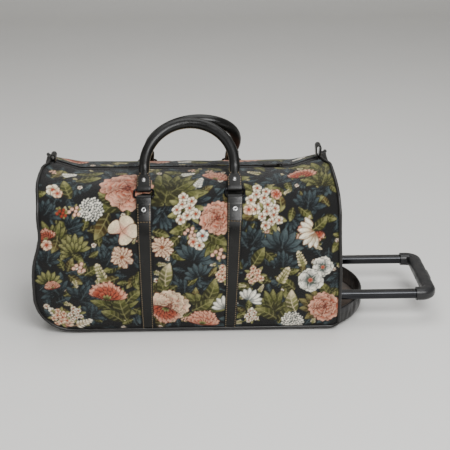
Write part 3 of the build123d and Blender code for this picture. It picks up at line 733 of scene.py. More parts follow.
# Headings of petals and leaves from one root, in radians
FAN_TURNS = (-1.25, 1.2, -0.72, 0.75, -0.28, 0.3, 0.0)
LOTUS_TURNS = (-1.35, 1.35, -0.95, 0.95, -0.5, 0.5, 0.0)
MAGNOLIA_TURNS = (2.4, -1.5, 0.9, -0.3)
CUP_TURNS = (-0.7, 0.0, 0.7)
TWIG_TURNS = (-1.9, -0.9, 0.2, 1.1, 2.3)
# Deep, middle and light tone of each hue
TONES = {
    "slate": ("ground", "slate", "mist"),
    "olive": ("moss", "olive", "sage"),
    "bronze": ("moss", "bronze", "sage"),
    "sage": ("olive", "sage", "cream"),
    "cream": ("fawn", "cream", "white"),
    "blush": ("salmon", "blush", "cream"),
    "salmon": ("rust", "salmon", "blush"),
    "rust": ("umber", "rust", "salmon"),
    "white": ("mist", "white", "white"),
}


class Loom:
    """The woven colours of one panel, laid motif over motif at each point of its grid, in metres."""

    def __init__(self, across, up, seed):
        group = cloth()
        self.across, self.up = across, up
        self.span = across.max() - across.min()
        self.rise = up.max()
        self.random = np.random.default_rng(seed)
        self.dark = np.array(group.ground)
        names = {name for steps in TONES.values() for name in steps}
        self.hues = {name: np.array(getattr(group, name)) for name in names}
        self.woven = np.tile(self.dark, (across.size, 1))

    def tones(self, hue, depth=1.0, light=1.0):
        """Deep, middle and light tone of a hue, with the deep and light ones drawn towards the middle."""
        deep, middle, pale = (self.hues[name] for name in TONES[hue])
        return middle + (deep - middle) * depth, middle, middle + (pale - middle) * light

    def near(self, at, reach):
        """Points within reach of a place."""
        return np.flatnonzero((abs(self.across - at[0]) < reach) & (abs(self.up - at[1]) < reach))

    def lay(self, points, tone, cover):
        """Weaves a tone over points by how far each is covered."""
        self.woven[points] += (tone - self.woven[points]) * cover[:, None]

    def petal(self, root, heading, long, wide, tones, widest, full, **looks):
        """One petal or leaf, from its root, widest at a share of its length, with a full or a pointed tip.

        Its looks are bend, ruffle, half (shade on one half), depth (of the root's shadow), contour, rib,
        edge and veins.
        """
        points = self.near(root, long * PETAL_REACH_SHARE)
        away, off = self.across[points] - root[0], self.up[points] - root[1]
        along = (away * math.cos(heading) + off * math.sin(heading)) / long
        aside = (off * math.cos(heading) - away * math.sin(heading)) / (wide / 2)
        along = along * (1 + looks.get("ruffle", 0.0) * (1 - np.cos(aside * RUFFLE_WAVES)))
        inside = (along > 0) & (along < 1)
        points, along, aside = points[inside], along[inside], aside[inside]
        aside = aside - looks.get("bend", 0.0) * (along - 0.5) ** 2
        half = np.sin(math.pi * along ** (math.log(0.5) / math.log(widest))) ** (1 / full)
        depth = (half - np.abs(aside)) * wide / 2
        deep, middle, light = tones
        if "contour" in looks:
            self.lay(points, looks["contour"], np.clip((depth + CONTOUR) / THREAD_BLEND + 0.5, 0, 1))
        to_tip = smooth_step(along ** looks.get("depth", 1.0) * 1.1)[:, None]
        low_half, high_half = np.clip(to_tip * 2, 0, 1), np.clip(to_tip * 2 - 1, 0, 1)
        tone = deep + (middle - deep) * low_half + (light - middle) * high_half
        tone = tone * (1 - looks.get("half", 0.25) * smooth_step(aside * 1.6 + 0.3)[:, None])
        if "veins" in looks:
            stripe = smooth_step(np.cos(TAU * (along * looks["veins"] - np.abs(aside) * 0.7)) * 2 - 0.8)
            tone = tone + (light - tone) * (stripe * VEIN_STRENGTH)[:, None]
        if "rib" in looks:
            line = np.clip(1.2 - np.abs(aside) * wide / 2 / RIB_WIDTH, 0, 1)[:, None]
            tone = tone + (looks["rib"] - tone) * line * RIB_STRENGTH
        if "edge" in looks:
            line = np.clip(1.6 - depth / EDGE_WIDTH, 0, 1)[:, None] * smooth_step(along * 2)[:, None]
            tone = tone + (looks["edge"] - tone) * line * EDGE_STRENGTH
        self.lay(points, tone, np.clip(depth / THREAD_BLEND + 0.5, 0, 1))

    def dot(self, at, radius, tone):
        """A round woven spot."""
        points = self.near(at, radius * 1.6)
        away = np.hypot(self.across[points] - at[0], self.up[points] - at[1])
        self.lay(points, np.asarray(tone), np.clip((radius - away) / THREAD_BLEND + 0.5, 0, 1))

    def beside(self, at, heading, distance):
        """A place at a distance from another."""
        return at[0] + distance * math.cos(heading), at[1] + distance * math.sin(heading)

    def vary(self, spread):
        """A factor about one."""
        return 1 + spread * (self.random.random() * 2 - 1)

    def leafy(self, tones, bend, veins):
        """Looks of a leaf with a pale rib."""
        shade = {"half": 0.5, "depth": 1.7, "contour": tones[0] * 0.5}
        return {**shade, "bend": bend, "rib": tones[2], "veins": veins}

    def leaf(self, at, size, heading, hue):
        """One broad veined leaf, centred."""
        root = self.beside(at, heading + math.pi, size)
        tones = self.tones(hue, 0.9, 0.8)
        looks = self.leafy(tones, 1.6 * (self.vary(1.0) - 1), 5)
        self.petal(root, heading, size * 2, size * 0.92, tones, 0.45, 1.2, **looks)

    def fan(self, at, size, heading, hue):
        """A spread of long leaves from one root."""
        tones = self.tones(hue, 0.85, 0.55)
        for turn in FAN_TURNS:
            long = size * self.vary(0.2)
            looks = self.leafy(tones, 1.1 * turn, 4)
            self.petal(at, heading + turn * self.vary(0.2), long, size * 0.36, tones, 0.5, 1.2, **looks)

    def sprig(self, at, size, heading, hue):
        """A fine stem with paired leaflets and a bud."""
        tones = self.tones(hue, 0.8, 0.8)
        root = self.beside(at, heading + math.pi, size)
        self.petal(root, heading, size * 2, STEM_WIDTH, tones, 0.5, 4.0)
        for step in range(5):
            joint = self.beside(root, heading, size * (0.35 + 0.34 * step))
            for side in (-1, 1):
                long = size * (0.62 - 0.07 * step)
                self.petal(joint, heading + side * 0.85, long, size * 0.24, tones, 0.6, 1.4, half=0.3)
        self.dot(self.beside(root, heading, size * 2), size * 0.13, tones[2])

    def rings(self, at, size, heading, hue, shares, widest, full, ruffle=0.0):
        """Rings of petals, each darker than the one outside it, every other one turned half a petal."""
        for order, (long, count, wide) in enumerate(shares):
            tones = [tone * (1 - 0.05 * order) for tone in self.tones(hue, 1.0, 0.8)]
            looks = {"ruffle": ruffle, "depth": 3.0, "half": 0.4, "veins": 2}
            looks.update(contour=tones[0] * 0.4, edge=tones[2])
            for step in range(count):
                turn = heading + TAU * (step + 0.5 * (order % 2)) / count + 0.14 * (self.vary(1.0) - 1)
                looks["bend"] = 0.5 * (self.vary(1.0) - 1)
                spans = long * size * self.vary(0.12), wide * size * self.vary(0.1)
                self.petal(at, turn, *spans, tones, widest, full, **looks)

    def spots(self, at, heading, count, distance, radius, hue):
        """A ring of round spots."""
        for step in range(count):
            self.dot(self.beside(at, heading + step * TAU / count, distance), radius, self.hues[hue])

    def peony(self, at, size, heading, hue):
        """A full round flower of many ruffled petals."""
        self.rings(at, size, heading, hue, PEONY_SHARES, 0.78, 2.4, 0.05)
        self.spots(at, heading, 6, size * 0.1, size * 0.045, "umber")

    def daisy(self, at, size, heading, hue):
        """A flower of many narrow petals round a button."""
        self.rings(at, size, heading, hue, DAISY_SHARES, 0.7, 1.8)
        self.dot(at, size * 0.16, self.hues["rust"])
        self.dot(at, size * 0.07, self.hues["olive"])

    def anemone(self, at, size, heading, hue):
        """An open flower of broad petals with a dark heart ringed by stamens."""
        self.rings(at, size, heading, hue, ANEMONE_SHARES, 0.68, 2.0, 0.03)
        self.dot(at, size * 0.17, self.hues["salmon"])
        self.dot(at, size * 0.09, self.hues["rust"])
        self.spots(at, 0.0, 12, size * 0.27, size * 0.045, "olive")

    def magnolia(self, at, size, heading, hue):
        """Four broad pale petals, flushed at the root."""
        flushed = (self.hues["salmon"], *self.tones(hue)[1:])
        looks = {"half": 0.22, "depth": 0.6, "contour": self.hues["umber"], "veins": 3}
        for turn in MAGNOLIA_TURNS:
            spans = size * self.vary(0.1), size * 0.95
            self.petal(at, heading + turn, *spans, flushed, 0.66, 2.0, bend=0.6 * turn, **looks)

    def heads(self, at, size, count):
        """Places packed evenly in a round."""
        reach = [size * math.sqrt((step + 0.5) / count) for step in range(count)]
        return [self.beside(at, step * GOLDEN_TURN, distance) for step, distance in enumerate(reach)]

    def hydrangea(self, at, size, heading, hue):
        """A round head of tiny spots."""
        self.dot(at, size * 0.98, self.hues["slate"] * 0.7)
        for place in self.heads(at, size, 70):
            self.dot(place, size * 0.078 * self.vary(0.35), self.hues[hue] * self.vary(0.12))

    def posy(self, at, size, heading, hue):
        """A cluster of five-petalled florets with rust hearts, among small leaves."""
        leaves = self.tones("olive")
        for turn in np.arange(7) * TAU / 7:
            self.petal(at, heading + turn, size * 1.2, size * 0.36, leaves, 0.6, 1.2, half=0.4)
        for place in self.heads(at, size * 0.82, 8):
            self.floret(place, size * 0.3 * self.vary(0.15), heading + place[0] * 400, hue)

    def floret(self, at, size, heading, hue):
        """A small five-petalled flower."""
        tones = self.tones(hue, 0.9, 0.9)
        looks = {"contour": tones[0] * 0.45, "edge": tones[2], "depth": 1.7}
        for step in range(5):
            self.petal(at, heading + step * TAU / 5, size, size * 0.86, tones, 0.64, 2.0, **looks)
        self.dot(at, size * 0.27, self.hues["rust"])

    def carnation(self, at, size, heading, hue):
        """A frilled flower seen from the side, on a green cup."""
        root = self.beside(at, heading + math.pi, size * 0.62)
        for shade, (long, count, spread, wide) in zip(("salmon", hue, hue), CARNATION_SHARES):
            tones = self.tones(shade, 1.0, 0.7)
            looks = {"ruffle": 0.05, "contour": tones[0] * 0.5, "edge": tones[2], "depth": 2.4}
            for turn in np.linspace(-spread, spread, count):
                spans = size * long * self.vary(0.08), size * wide
                self.petal(root, heading + turn, *spans, tones, 0.76, 2.0, **looks)
        for turn in CUP_TURNS:
            self.petal(root, heading + turn, size * 0.42, size * 0.2, self.tones("olive"), 0.5, 1.2)

    def buds(self, at, size, heading, hue):
        """A twig of round buds with small brown leaves."""
        leaves = self.tones("bronze")
        for turn in TWIG_TURNS:
            self.petal(at, heading + turn, size * 1.1, size * 0.4, leaves, 0.55, 1.2, half=0.4)
        for place in self.heads(at, size * 0.8, 6):
            self.dot(place, size * 0.27, self.hues["umber"])
            self.dot(place, size * 0.22, self.hues[hue] * self.vary(0.1))

    def lotus(self, at, size, heading, hue):
        """A cup of pointed petals."""
        root = self.beside(at, heading + math.pi, size * 0.6)
        tones = self.tones(hue, 0.9, 0.8)
        looks = {"half": 0.35, "contour": tones[0] * 0.7, "rib": tones[2], "veins": 3}
        for turn in LOTUS_TURNS:
            self.petal(root, heading + turn, size * 1.5, size * 0.52, tones, 0.55, 1.2, **looks)

    def scatter(self, kind, hue, columns, rows, chance, size):
        """Strews a motif over the whole panel on a jittered grid."""
        low = self.across.min()
        for column in range(columns):
            for row in range(rows):
                jitter = self.random.random(4)
                if jitter[3] > chance:
                    continue
                across = low + self.span * (column + jitter[0]) / columns
                up = self.rise * (row + jitter[1]) / rows
                getattr(self, kind)((across, up), size * self.vary(0.3), TAU * jitter[2], hue)

    def weave(self, mirror):
        """Lays the scattered ground foliage, then the placed motifs."""
        for kind, hue, columns, rows, chance, size in GROUND_COVER:
            self.scatter(kind, hue, columns, rows, chance, size * MM)
        for kind, hue, *places in PLANTING:
            for across, up, size, turn in places:
                heading = math.radians(turn if mirror > 0 else 180 - turn)
                at = (mirror * across * self.span, up * self.rise)
                getattr(self, kind)(at, size * MM, heading, hue)


# Motif, hue, columns and rows of its grid, chance of a motif at each place, radius in millimetres
GROUND_COVER = (
    ("leaf", "slate", 26, 15, 0.75, 13),
    ("fan", "slate", 9, 6, 0.7, 27),
    ("leaf", "bronze", 13, 8, 0.5, 14),
    ("leaf", "olive", 17, 10, 0.6, 14),
    ("sprig", "sage", 14, 9, 0.4, 8),
    ("buds", "blush", 13, 8, 0.2, 7),
    ("floret", "cream", 20, 12, 0.15, 4.2),
)
# Motif and hue, then each one's place across and up as shares of the panel, its radius in millimetres
# and its heading in degrees, in the order of weaving
PLANTING = (
    ("fan", "slate",
     (-0.35, 0.18, 34, 60), (-0.42, 0.22, 30, 130), (-0.32, 0.08, 30, 80), (-0.26, 0.38, 26, 60),
     (-0.45, 0.40, 28, 80), (-0.45, 0.64, 28, 60), (-0.38, 0.57, 26, 20), (0.39, 0.66, 32, 80),
     (0.30, 0.82, 30, 100), (0.21, 0.48, 34, 60)),
    ("lotus", "slate", (0.31, 0.50, 27, 80)),
    ("fan", "slate", (0.31, 0.36, 28, 90)),
    ("lotus", "slate", (0.03, 0.44, 25, 70), (0.03, 0.34, 18, 110)),
    ("fan", "olive",
     (-0.07, 0.70, 70, 80), (-0.05, 0.76, 52, 35), (-0.20, 0.68, 52, 110), (-0.24, 0.12, 46, 70)),
    ("fan", "bronze", (-0.06, 0.10, 44, 120)),
    ("fan", "olive", (0.05, 0.12, 44, 60), (0.28, 0.10, 40, 110)),
    ("fan", "bronze", (0.44, 0.10, 44, 130), (0.24, 0.62, 42, 95)),
    ("fan", "olive", (0.10, 0.52, 38, 250), (-0.43, 0.50, 36, 70), (0.45, 0.84, 44, 150)),
    ("leaf", "olive",
     (-0.04, 0.93, 20, 165), (-0.32, 0.87, 24, 15), (-0.39, 0.78, 22, 110), (-0.26, 0.73, 18, 140),
     (-0.14, 0.66, 20, 300)),
    ("leaf", "bronze", (-0.27, 0.58, 27, 240)),
    ("leaf", "olive",
     (-0.22, 0.14, 32, 100), (-0.25, 0.09, 22, 150), (-0.18, 0.20, 20, 40), (0.08, 0.22, 26, 70),
     (0.05, 0.14, 24, 30), (-0.08, 0.24, 24, 100), (0.10, 0.51, 22, 330), (-0.02, 0.56, 20, 200)),
    ("fan", "olive", (0.44, 0.78, 30, 70)),
    ("leaf", "olive", (0.26, 0.09, 24, 150), (0.32, 0.08, 24, 60)),
    ("leaf", "sage", (0.34, 0.16, 24, 100)),
    ("leaf", "olive",
     (0.23, 0.41, 22, 60), (0.16, 0.58, 20, 250), (0.45, 0.22, 20, 120), (0.17, 0.86, 22, 20)),
    ("leaf", "sage", (-0.07, 0.32, 24, 80)),
    ("sprig", "sage", (-0.28, 0.33, 20, 110)),
    ("sprig", "white", (-0.39, 0.90, 16, 30)),
    ("sprig", "sage", (0.31, 0.30, 20, 60), (0.37, 0.39, 18, 110)),
    ("sprig", "white", (0.04, 0.82, 17, 70), (0.00, 0.91, 15, 20)),
    ("sprig", "sage", (0.23, 0.92, 15, 160)),
    ("sprig", "cream", (-0.43, 0.09, 20, 130)),
    ("sprig", "blush", (-0.39, 0.06, 22, 60)),
    ("sprig", "cream", (-0.35, 0.04, 18, 20), (0.21, 0.07, 16, 90)),
    ("hydrangea", "white", (-0.305, 0.67, 22, 0)),
    ("buds", "blush", (-0.36, 0.66, 13, 10)),
    ("buds", "rust", (-0.40, 0.65, 11, 50)),
    ("buds", "blush", (-0.35, 0.37, 14, 20)),
    ("floret", "cream", (-0.43, 0.77, 12, 0)),
    ("floret", "blush", (-0.415, 0.75, 9, 20)),
    ("leaf", "bronze", (-0.42, 0.49, 17, 250)),
    ("lotus", "olive", (-0.36, 0.50, 20, 85), (-0.375, 0.47, 15, 120)),
    ("carnation", "rust", (-0.455, 0.54, 15, 110)),
    ("floret", "blush", (-0.45, 0.49, 10, 40)),
    ("lotus", "olive", (-0.45, 0.31, 17, 90)),
    ("carnation", "salmon", (-0.44, 0.27, 11, 100)),
    ("daisy", "blush", (-0.21, 0.42, 21, 10)),
    ("peony", "salmon", (-0.19, 0.79, 48, 20)),
    ("magnolia", "blush", (-0.205, 0.56, 27, 15)),
    ("carnation", "rust", (-0.26, 0.23, 27, 80)),
    ("posy", "blush", (-0.42, 0.08, 20, 30)),
    ("posy", "cream", (-0.37, 0.10, 17, 10), (0.00, 0.67, 29, 0)),
    ("daisy", "blush", (-0.08, 0.47, 20, 15)),
    ("buds", "blush", (0.01, 0.55, 13, 0)),
    ("floret", "white", (0.05, 0.53, 11, 20)),
    ("floret", "blush", (0.02, 0.50, 9, 40)),
    ("floret", "cream", (0.04, 0.48, 9, 70)),
    ("peony", "salmon", (0.10, 0.62, 33, 40)),
    ("buds", "blush", (0.10, 0.43, 15, 30)),
    ("posy", "blush", (0.12, 0.32, 17, 20)),
    ("peony", "blush", (-0.06, 0.14, 35, 0)),
    ("carnation", "rust", (-0.08, 0.09, 24, 250)),
    ("carnation", "salmon", (0.05, 0.06, 24, 80)),
    ("lotus", "white", (0.12, 0.15, 17, 100)),
    ("carnation", "salmon", (0.10, 0.89, 20, 70)),
    ("posy", "cream", (0.24, 0.72, 30, 0), (0.27, 0.63, 26, 30)),
    ("floret", "blush", (0.20, 0.66, 10, 0)),
    ("floret", "salmon", (0.29, 0.74, 10, 0)),
    ("carnation", "rust", (0.38, 0.89, 21, 90), (0.40, 0.53, 20, 250)),
    ("lotus", "cream", (0.39, 0.53, 20, 200)),
    ("leaf", "olive", (0.43, 0.58, 18, 40)),
    ("anemone", "white", (0.44, 0.35, 20, 10), (0.40, 0.28, 25, 40)),
    ("posy", "blush", (0.22, 0.31, 18, 0)),
    ("lotus", "white", (0.21, 0.19, 16, 60)),
    ("peony", "salmon", (0.45, 0.12, 31, 10)),
    ("hydrangea", "white", (0.345, 0.035, 21, 0)),
    ("posy", "cream", (0.21, 0.07, 15, 15)),
)


# Tapestry panels, and the bag's front as seen along rays about its inner axis

AXIS_SHARE = 0.43
# Rays run from below the base's edge to straight up, in radians
LOWEST_RAY = -1.2
HIGHEST_RAY = 1.57
SECTION_RAYS = 700
RIM_TURN = 0.6
SMOOTHING = 36
# How far each strap's foot lies along the bag from its top
STRAPS = {"left": 2.0 * MM, "right": -10.0 * MM}
STRAP_FOOT_WIDTH = 22 * MM
STRAP_TOP_WIDTH = 27 * MM
STRAP_THICKNESS = 2.6 * MM
FOLD_THICKNESS = 2.4 * MM
RING_WIRE = 4 * MM


class BagFront:
    """The front panel's outer surface, met by rays towards an axis inside the bag."""

    def __init__(self):
        self.tree = ray_tree("front_panel")
        self.low, self.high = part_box("front_panel")
        self.axis = self.low.z + (self.high.z - self.low.z) * AXIS_SHARE
        first, last = (
            last_hit(lambda angle: self.meet(0.0, angle), 0.0, limit) for limit in (LOWEST_RAY, HIGHEST_RAY)
        )
        self.angles = np.linspace(first, last, SECTION_RAYS)
        self.section = np.array([self.meet(0.0, angle) for angle in self.angles])
        steps = np.linalg.norm(np.diff(self.section, axis=0), axis=1)
        self.girth = np.concatenate([[0], np.cumsum(steps)])

    def meet(self, x, angle):
        """Where a ray at an angle meets the outer face, or nothing beyond the panel's edge."""
        outward = Vector((0.0, -math.cos(angle), math.sin(angle)))
        point, normal, _, _ = self.tree.ray_cast(Vector((x, 0.0, self.axis)) + outward * FAR, -outward)
        if point is None or math.hypot(normal.x, min(normal.z, 0.0)) > RIM_TURN:
            return None
        return tuple(point)

    def angle_at(self, girth):
        """Ray angle of a place up the panel's section."""
        return np.interp(girth, self.girth, self.angles)

    def girth_at_height(self, height):
        """Place up the section at a height."""
        return np.interp(height, self.section[::10, 2], self.girth[::10])


FRONT = BagFront()
# Height, spread and outward shift of each slack stretch of the bag's ends
SLACK_ENDS = {
    -1: ((288 * MM, 26 * MM, 11 * MM), (190 * MM, 36 * MM, -10 * MM)),
    1: ((285 * MM, 75 * MM, 13 * MM),),
}
TAB_HOLD = 14 * MM
TAB_EASE = 28 * MM


def end_lean(points, end):
    """How far an end stands out from its straight form at points, held in under the zip's tab."""
    height = points[..., 2]
    shift = sum(out * np.exp(-(((height - level) / spread) ** 2)) for level, spread, out in SLACK_ENDS[end])
    return end * shift * smooth_step((np.abs(points[..., 1]) - TAB_HOLD) / TAB_EASE)


def panel_grid():
    """Points of the front panel's cloth in rows from base to zip, with their places across and up."""
    pitch = cloth().pitch
    rows = int(round(FRONT.girth[-1] / pitch)) + 1
    columns = int(round((FRONT.high.x - FRONT.low.x) / pitch)) + 1
    up = np.linspace(0, FRONT.girth[-1], rows)
    points = np.zeros((rows, columns, 3))
    for row, girth in enumerate(up):
        angle = FRONT.angle_at(girth)
        left = last_hit(lambda x: FRONT.meet(x, angle), 0.0, FRONT.low.x - MM)
        right = last_hit(lambda x: FRONT.meet(x, angle), 0.0, FRONT.high.x + MM)
        for column, x in enumerate(np.linspace(left, right, columns)):
            points[row, column] = FRONT.meet(x, angle) or points[row, column - 1]
    for _ in range(SMOOTHING):
        inner = points[1:-1, 1:-1]
        around = points[:-2, 1:-1] + points[2:, 1:-1] + points[1:-1, :-2] + points[1:-1, 2:]
        points[1:-1, 1:-1] = inner * 0.5 + around * 0.125
    for end, edge in ((-1, points[:, :1, 0]), (1, points[:, -1:, 0])):
        points[..., 0] += end_lean(points, end) * smooth_step(points[..., 0] / edge * 2 - 1)
    return points, up


def grid_normals(points):
    """Directions square to a grid."""
    return unit(np.cross(np.gradient(points, axis=1), np.gradient(points, axis=0)))


def field(across, up, *waves):
    """Smooth noise over a grid, the sum of waves given as scale, seed and strength."""
    places = np.stack([across.ravel(), up.ravel()], axis=-1)
    total = np.zeros(len(places))
    for scale, seed, strength in waves:
        total += strength * np.array([noise.noise((u * scale, v * scale, seed)) for u, v in places])
    return total.reshape(across.shape)


# Above the rings the straps let the cloth go
RING_HEIGHT = 240 * MM
RING_EASE = 50 * MM
# How far from a seam and from a strap the cloth takes to reach its full belly, slack and gathers
BELLY_REACH = (75 * MM, 60 * MM)
SLACK_REACH = (30 * MM, 20 * MM)
GATHER_REACH = (4 * MM, 12 * MM)
SLACK_WAVES = ((13.0, 3.0, 1.0), (31.0, 7.0, 0.5))
GATHER_WAVES = ((120.0, 5.0, 1.0),)


def swollen(points, up):
    """The panel's cloth with its belly, slack and gathers."""
    group = cloth()
    across = points[..., 0]
    rows = np.broadcast_to(up[:, None], across.shape)
    to_end = np.minimum(across - across[:, :1], across[:, -1:] - across)
    seam = np.minimum(to_end, np.minimum(rows, up[-1] - rows))
    strap = np.full(across.shape, 1.0)
    for side in STRAPS:
        low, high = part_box("front_strap_" + side)
        strap = np.minimum(strap, np.maximum(low.x - across, across - high.x))
    free = smooth_step((rows - FRONT.girth_at_height(RING_HEIGHT)) / RING_EASE)
    strap = strap + (np.maximum(strap, RING_EASE) - strap) * free
    belly, slack = (
        smooth_step(seam / reach[0]) * smooth_step(strap / reach[1]) for reach in (BELLY_REACH, SLACK_REACH)
    )
    gather = np.exp(-seam / GATHER_REACH[1]) * smooth_step(seam / GATHER_REACH[0])
    lift = group.belly * belly + group.slack * field(across, rows, *SLACK_WAVES) * slack
    lift = lift + group.pucker * field(across, rows, *GATHER_WAVES) * gather
    return points + grid_normals(points) * lift[..., None]


def charted(piece, chart):
    """Gives a piece its UV map in metres from a place for each point."""
    mesh = piece.data
    corners = np.zeros(len(mesh.loops), dtype=np.int64)
    mesh.loops.foreach_get("vertex_index", corners)
    mesh.uv_layers.new(name="chart").data.foreach_set("uv", chart[corners].astype(np.float32).ravel())


class BAG_OT_tapestry(bpy.types.Operator):
    """Lays the flowered cloth over the front and the back"""

    bl_idname = "carpet_bag.tapestry"
    bl_label = "Tapestry panels"

    def execute(self, context):
        """Builds both panels on one grid, with the planting mirrored on the back."""
        flat, up = panel_grid()
        soft = swollen(flat, up)
        rows, columns = flat.shape[:2]
        faces = grid_faces(rows, columns)
        chart = np.stack([flat[..., 0].ravel(), np.repeat(up, columns)], axis=-1)
        for side, sign in SIDES.items():
            points = soft.reshape(-1, 3) * mirrored(sign)
            turned = faces if sign < 0 else faces[:, ::-1]
            piece = new_piece(side + "_tapestry", points, turned, "tapestry", closed=False)
            charted(piece, chart)
            loom = Loom(chart[:, 0], chart[:, 1], cloth().seed + sign)
            loom.weave(-sign)
            layer = piece.data.color_attributes.new(WOVEN, "FLOAT_COLOR", "POINT")
            woven = np.concatenate([np.clip(loom.woven, 0, 1), np.ones((len(points), 1))], axis=1)
            layer.data.foreach_set("color", woven.astype(np.float32).ravel())
            put(piece, "bag", "tapestry", side + "_panel")
        return {"FINISHED"}


BEAD_LIFT_SHARE = 0.4
BEAD_PITCH = 2.6 * MM
BEAD_FACES = 14
# Size of the bead's lumps, as a share of its radius, and how close they come
BEAD_SWELL_SHARE = 0.09
BEAD_LUMPS = 90.0


def seam_run(points):
    """The panel's sewn edge, from the zip down one end, along the base and up the other end."""
    return np.concatenate([points[::-1, 0], points[0, 1:-1], points[:, -1]])


class BAG_OT_piping(bpy.types.Operator):
    """Runs vinyl piping round both panels' seams"""

    bl_idname = "carpet_bag.piping"
    bl_label = "Piping"

    def execute(self, context):
        """Sweeps a slightly uneven bead along each seam."""
        flat, _ = panel_grid()
        normals = grid_normals(flat)
        radius = leather().piping
        run = seam_run(flat + normals * radius * BEAD_LIFT_SHARE)
        run = run[np.abs(run[:, 1]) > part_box("handle_end_tab")[1].y + MM]
        run = even_run(run, BEAD_PITCH)
        wide = unit(seam_run(normals)[0])
        swell = np.array([1 + BEAD_SWELL_SHARE * noise.noise(Vector(point) * BEAD_LUMPS) for point in run])
        sections = oval(radius, radius, 2.0, BEAD_FACES)[None] * swell[:, None, None]
        for side, sign in SIDES.items():
            mirror = mirrored(sign)
            points, faces = swept(run * mirror, wide * mirror, sections)
            piece = new_piece(side + "_piping_bead", points, faces, "vinyl")
            put(piece, "bag", "vinyl", side + "_piping")
        return {"FINISHED"}


# Vinyl gusset

# Radii of the base's corners at the wheel end and the handle end
CORNER_RADII = (70 * MM, 14 * MM)
CORNER_STEPS = (32, 8)
WHEEL_END_STEPS = 8
GUSSET_PITCH = 3.5 * MM
GUSSET_COLUMNS = 75
END_ROWS = 96
# Rows of an end panel crowd towards its arched top by this power
ROW_CROWDING = 1.6
ROW_INSET = 0.5 * MM
EDGE_TRIM = 0.4 * MM
SEAM_TUCK = 1.6 * MM
TOP_FOLD = 10 * MM
PUFF = 7 * MM
PUFF_REACH = (60 * MM, 70 * MM)
CREASE = 1.8 * MM
CREASE_REACH = (30 * MM, 40 * MM)
CREASE_WAVES = ((16.0, 2.0, 1.0), (38.0, 4.0, 0.4))


def met_grid(tree, lines, half):
    """Grid of points where inward rays, each shifted across Y, meet a node, and which of them met it."""
    points = np.zeros((len(lines), GUSSET_COLUMNS, 3))
    met = np.zeros((len(lines), GUSSET_COLUMNS), dtype=bool)
    for row, (start, inward) in enumerate(lines):
        start, inward = Vector(start), Vector(inward)

        def cast(y):
            return tree.ray_cast(start + Vector((0.0, y, 0.0)), inward, 3 * FAR)[0]

        edge = last_hit(cast, 0.0, half) - EDGE_TRIM
        level = cast(0.0) or cast(edge * 0.99) or start
        for column, y in enumerate(np.linspace(-edge, edge, GUSSET_COLUMNS)):
            point = cast(y)
            met[row, column] = point is not None
            points[row, column] = point or (level[0], y, level[2])
    for rim, beside, sign in ((0, 1, -1), (-1, -2, 1)):
        points[:, rim, ::2] = points[:, beside, ::2]
        points[:, rim, 1] += sign * SEAM_TUCK
    return points, met


def vinyl_piece(name, points, met, node, outward):
    """A vinyl panel from a grid, without the faces that its cut-outs take away."""
    rows, columns = met.shape
    faces = grid_faces(rows, columns)
    kept = faces[met.ravel()[faces].all(axis=1)]
    first = points.reshape(-1, 3)[kept[0]]
    if np.cross(first[1] - first[0], first[2] - first[0]) @ outward < 0:
        kept = kept[:, ::-1]
    used, packed = np.unique(kept, return_inverse=True)
    piece = new_piece(name, points.reshape(-1, 3)[used], packed.reshape(kept.shape), "vinyl", closed=False)
    put(piece, "bag", "vinyl", node)


def puffed(points, outward, start):
    """An end panel swollen and creased along a direction, flat up to a height."""
    across = points[..., 1]
    edge = np.minimum(across - across[:, :1], across[:, -1:] - across)
    rows = points[..., 2]
    rise = np.minimum(rows - max(start, rows.min()), rows.max() - rows)
    soft, slack = (
        smooth_step(edge / reach[0]) * smooth_step(rise / reach[1]) for reach in (PUFF_REACH, CREASE_REACH)
    )
    lift = PUFF * soft + CREASE * field(across, rows, *CREASE_WAVES) * slack
    return points + lift[..., None] * outward


def base_lines():
    """Inward rays along the base panel's outline, from the wheel end round both corners."""
    low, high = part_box("base_panel")
    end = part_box("handle_end_panel")[0].z
    left, right = CORNER_RADII
    levels = np.linspace(high.z - MM, low.z + left, WHEEL_END_STEPS)
    targets = [(ALONG * low.x + UP * z, ALONG) for z in levels]
    for turn in np.linspace(0, TAU / 4, CORNER_STEPS[0])[1:]:
        centre = ALONG * (low.x + left) + UP * (low.z + left)
        targets.append((centre, ALONG * math.cos(turn) + UP * math.sin(turn)))
    count = int((high.x - low.x - left - right) / GUSSET_PITCH)
    for x in np.linspace(low.x + left, high.x - right, count)[1:]:
        targets.append((ALONG * x + UP * low.z, UP))
    for turn in np.linspace(0, TAU / 4, CORNER_STEPS[1])[1:-1]:
        centre = ALONG * (high.x - right) + UP * (low.z + right)
        targets.append((centre, UP * math.cos(turn) - ALONG * math.sin(turn)))
    targets.append((ALONG * high.x + UP * (end - ROW_INSET), -ALONG))
    return [(target - FAR * inward, inward) for target, inward in targets]


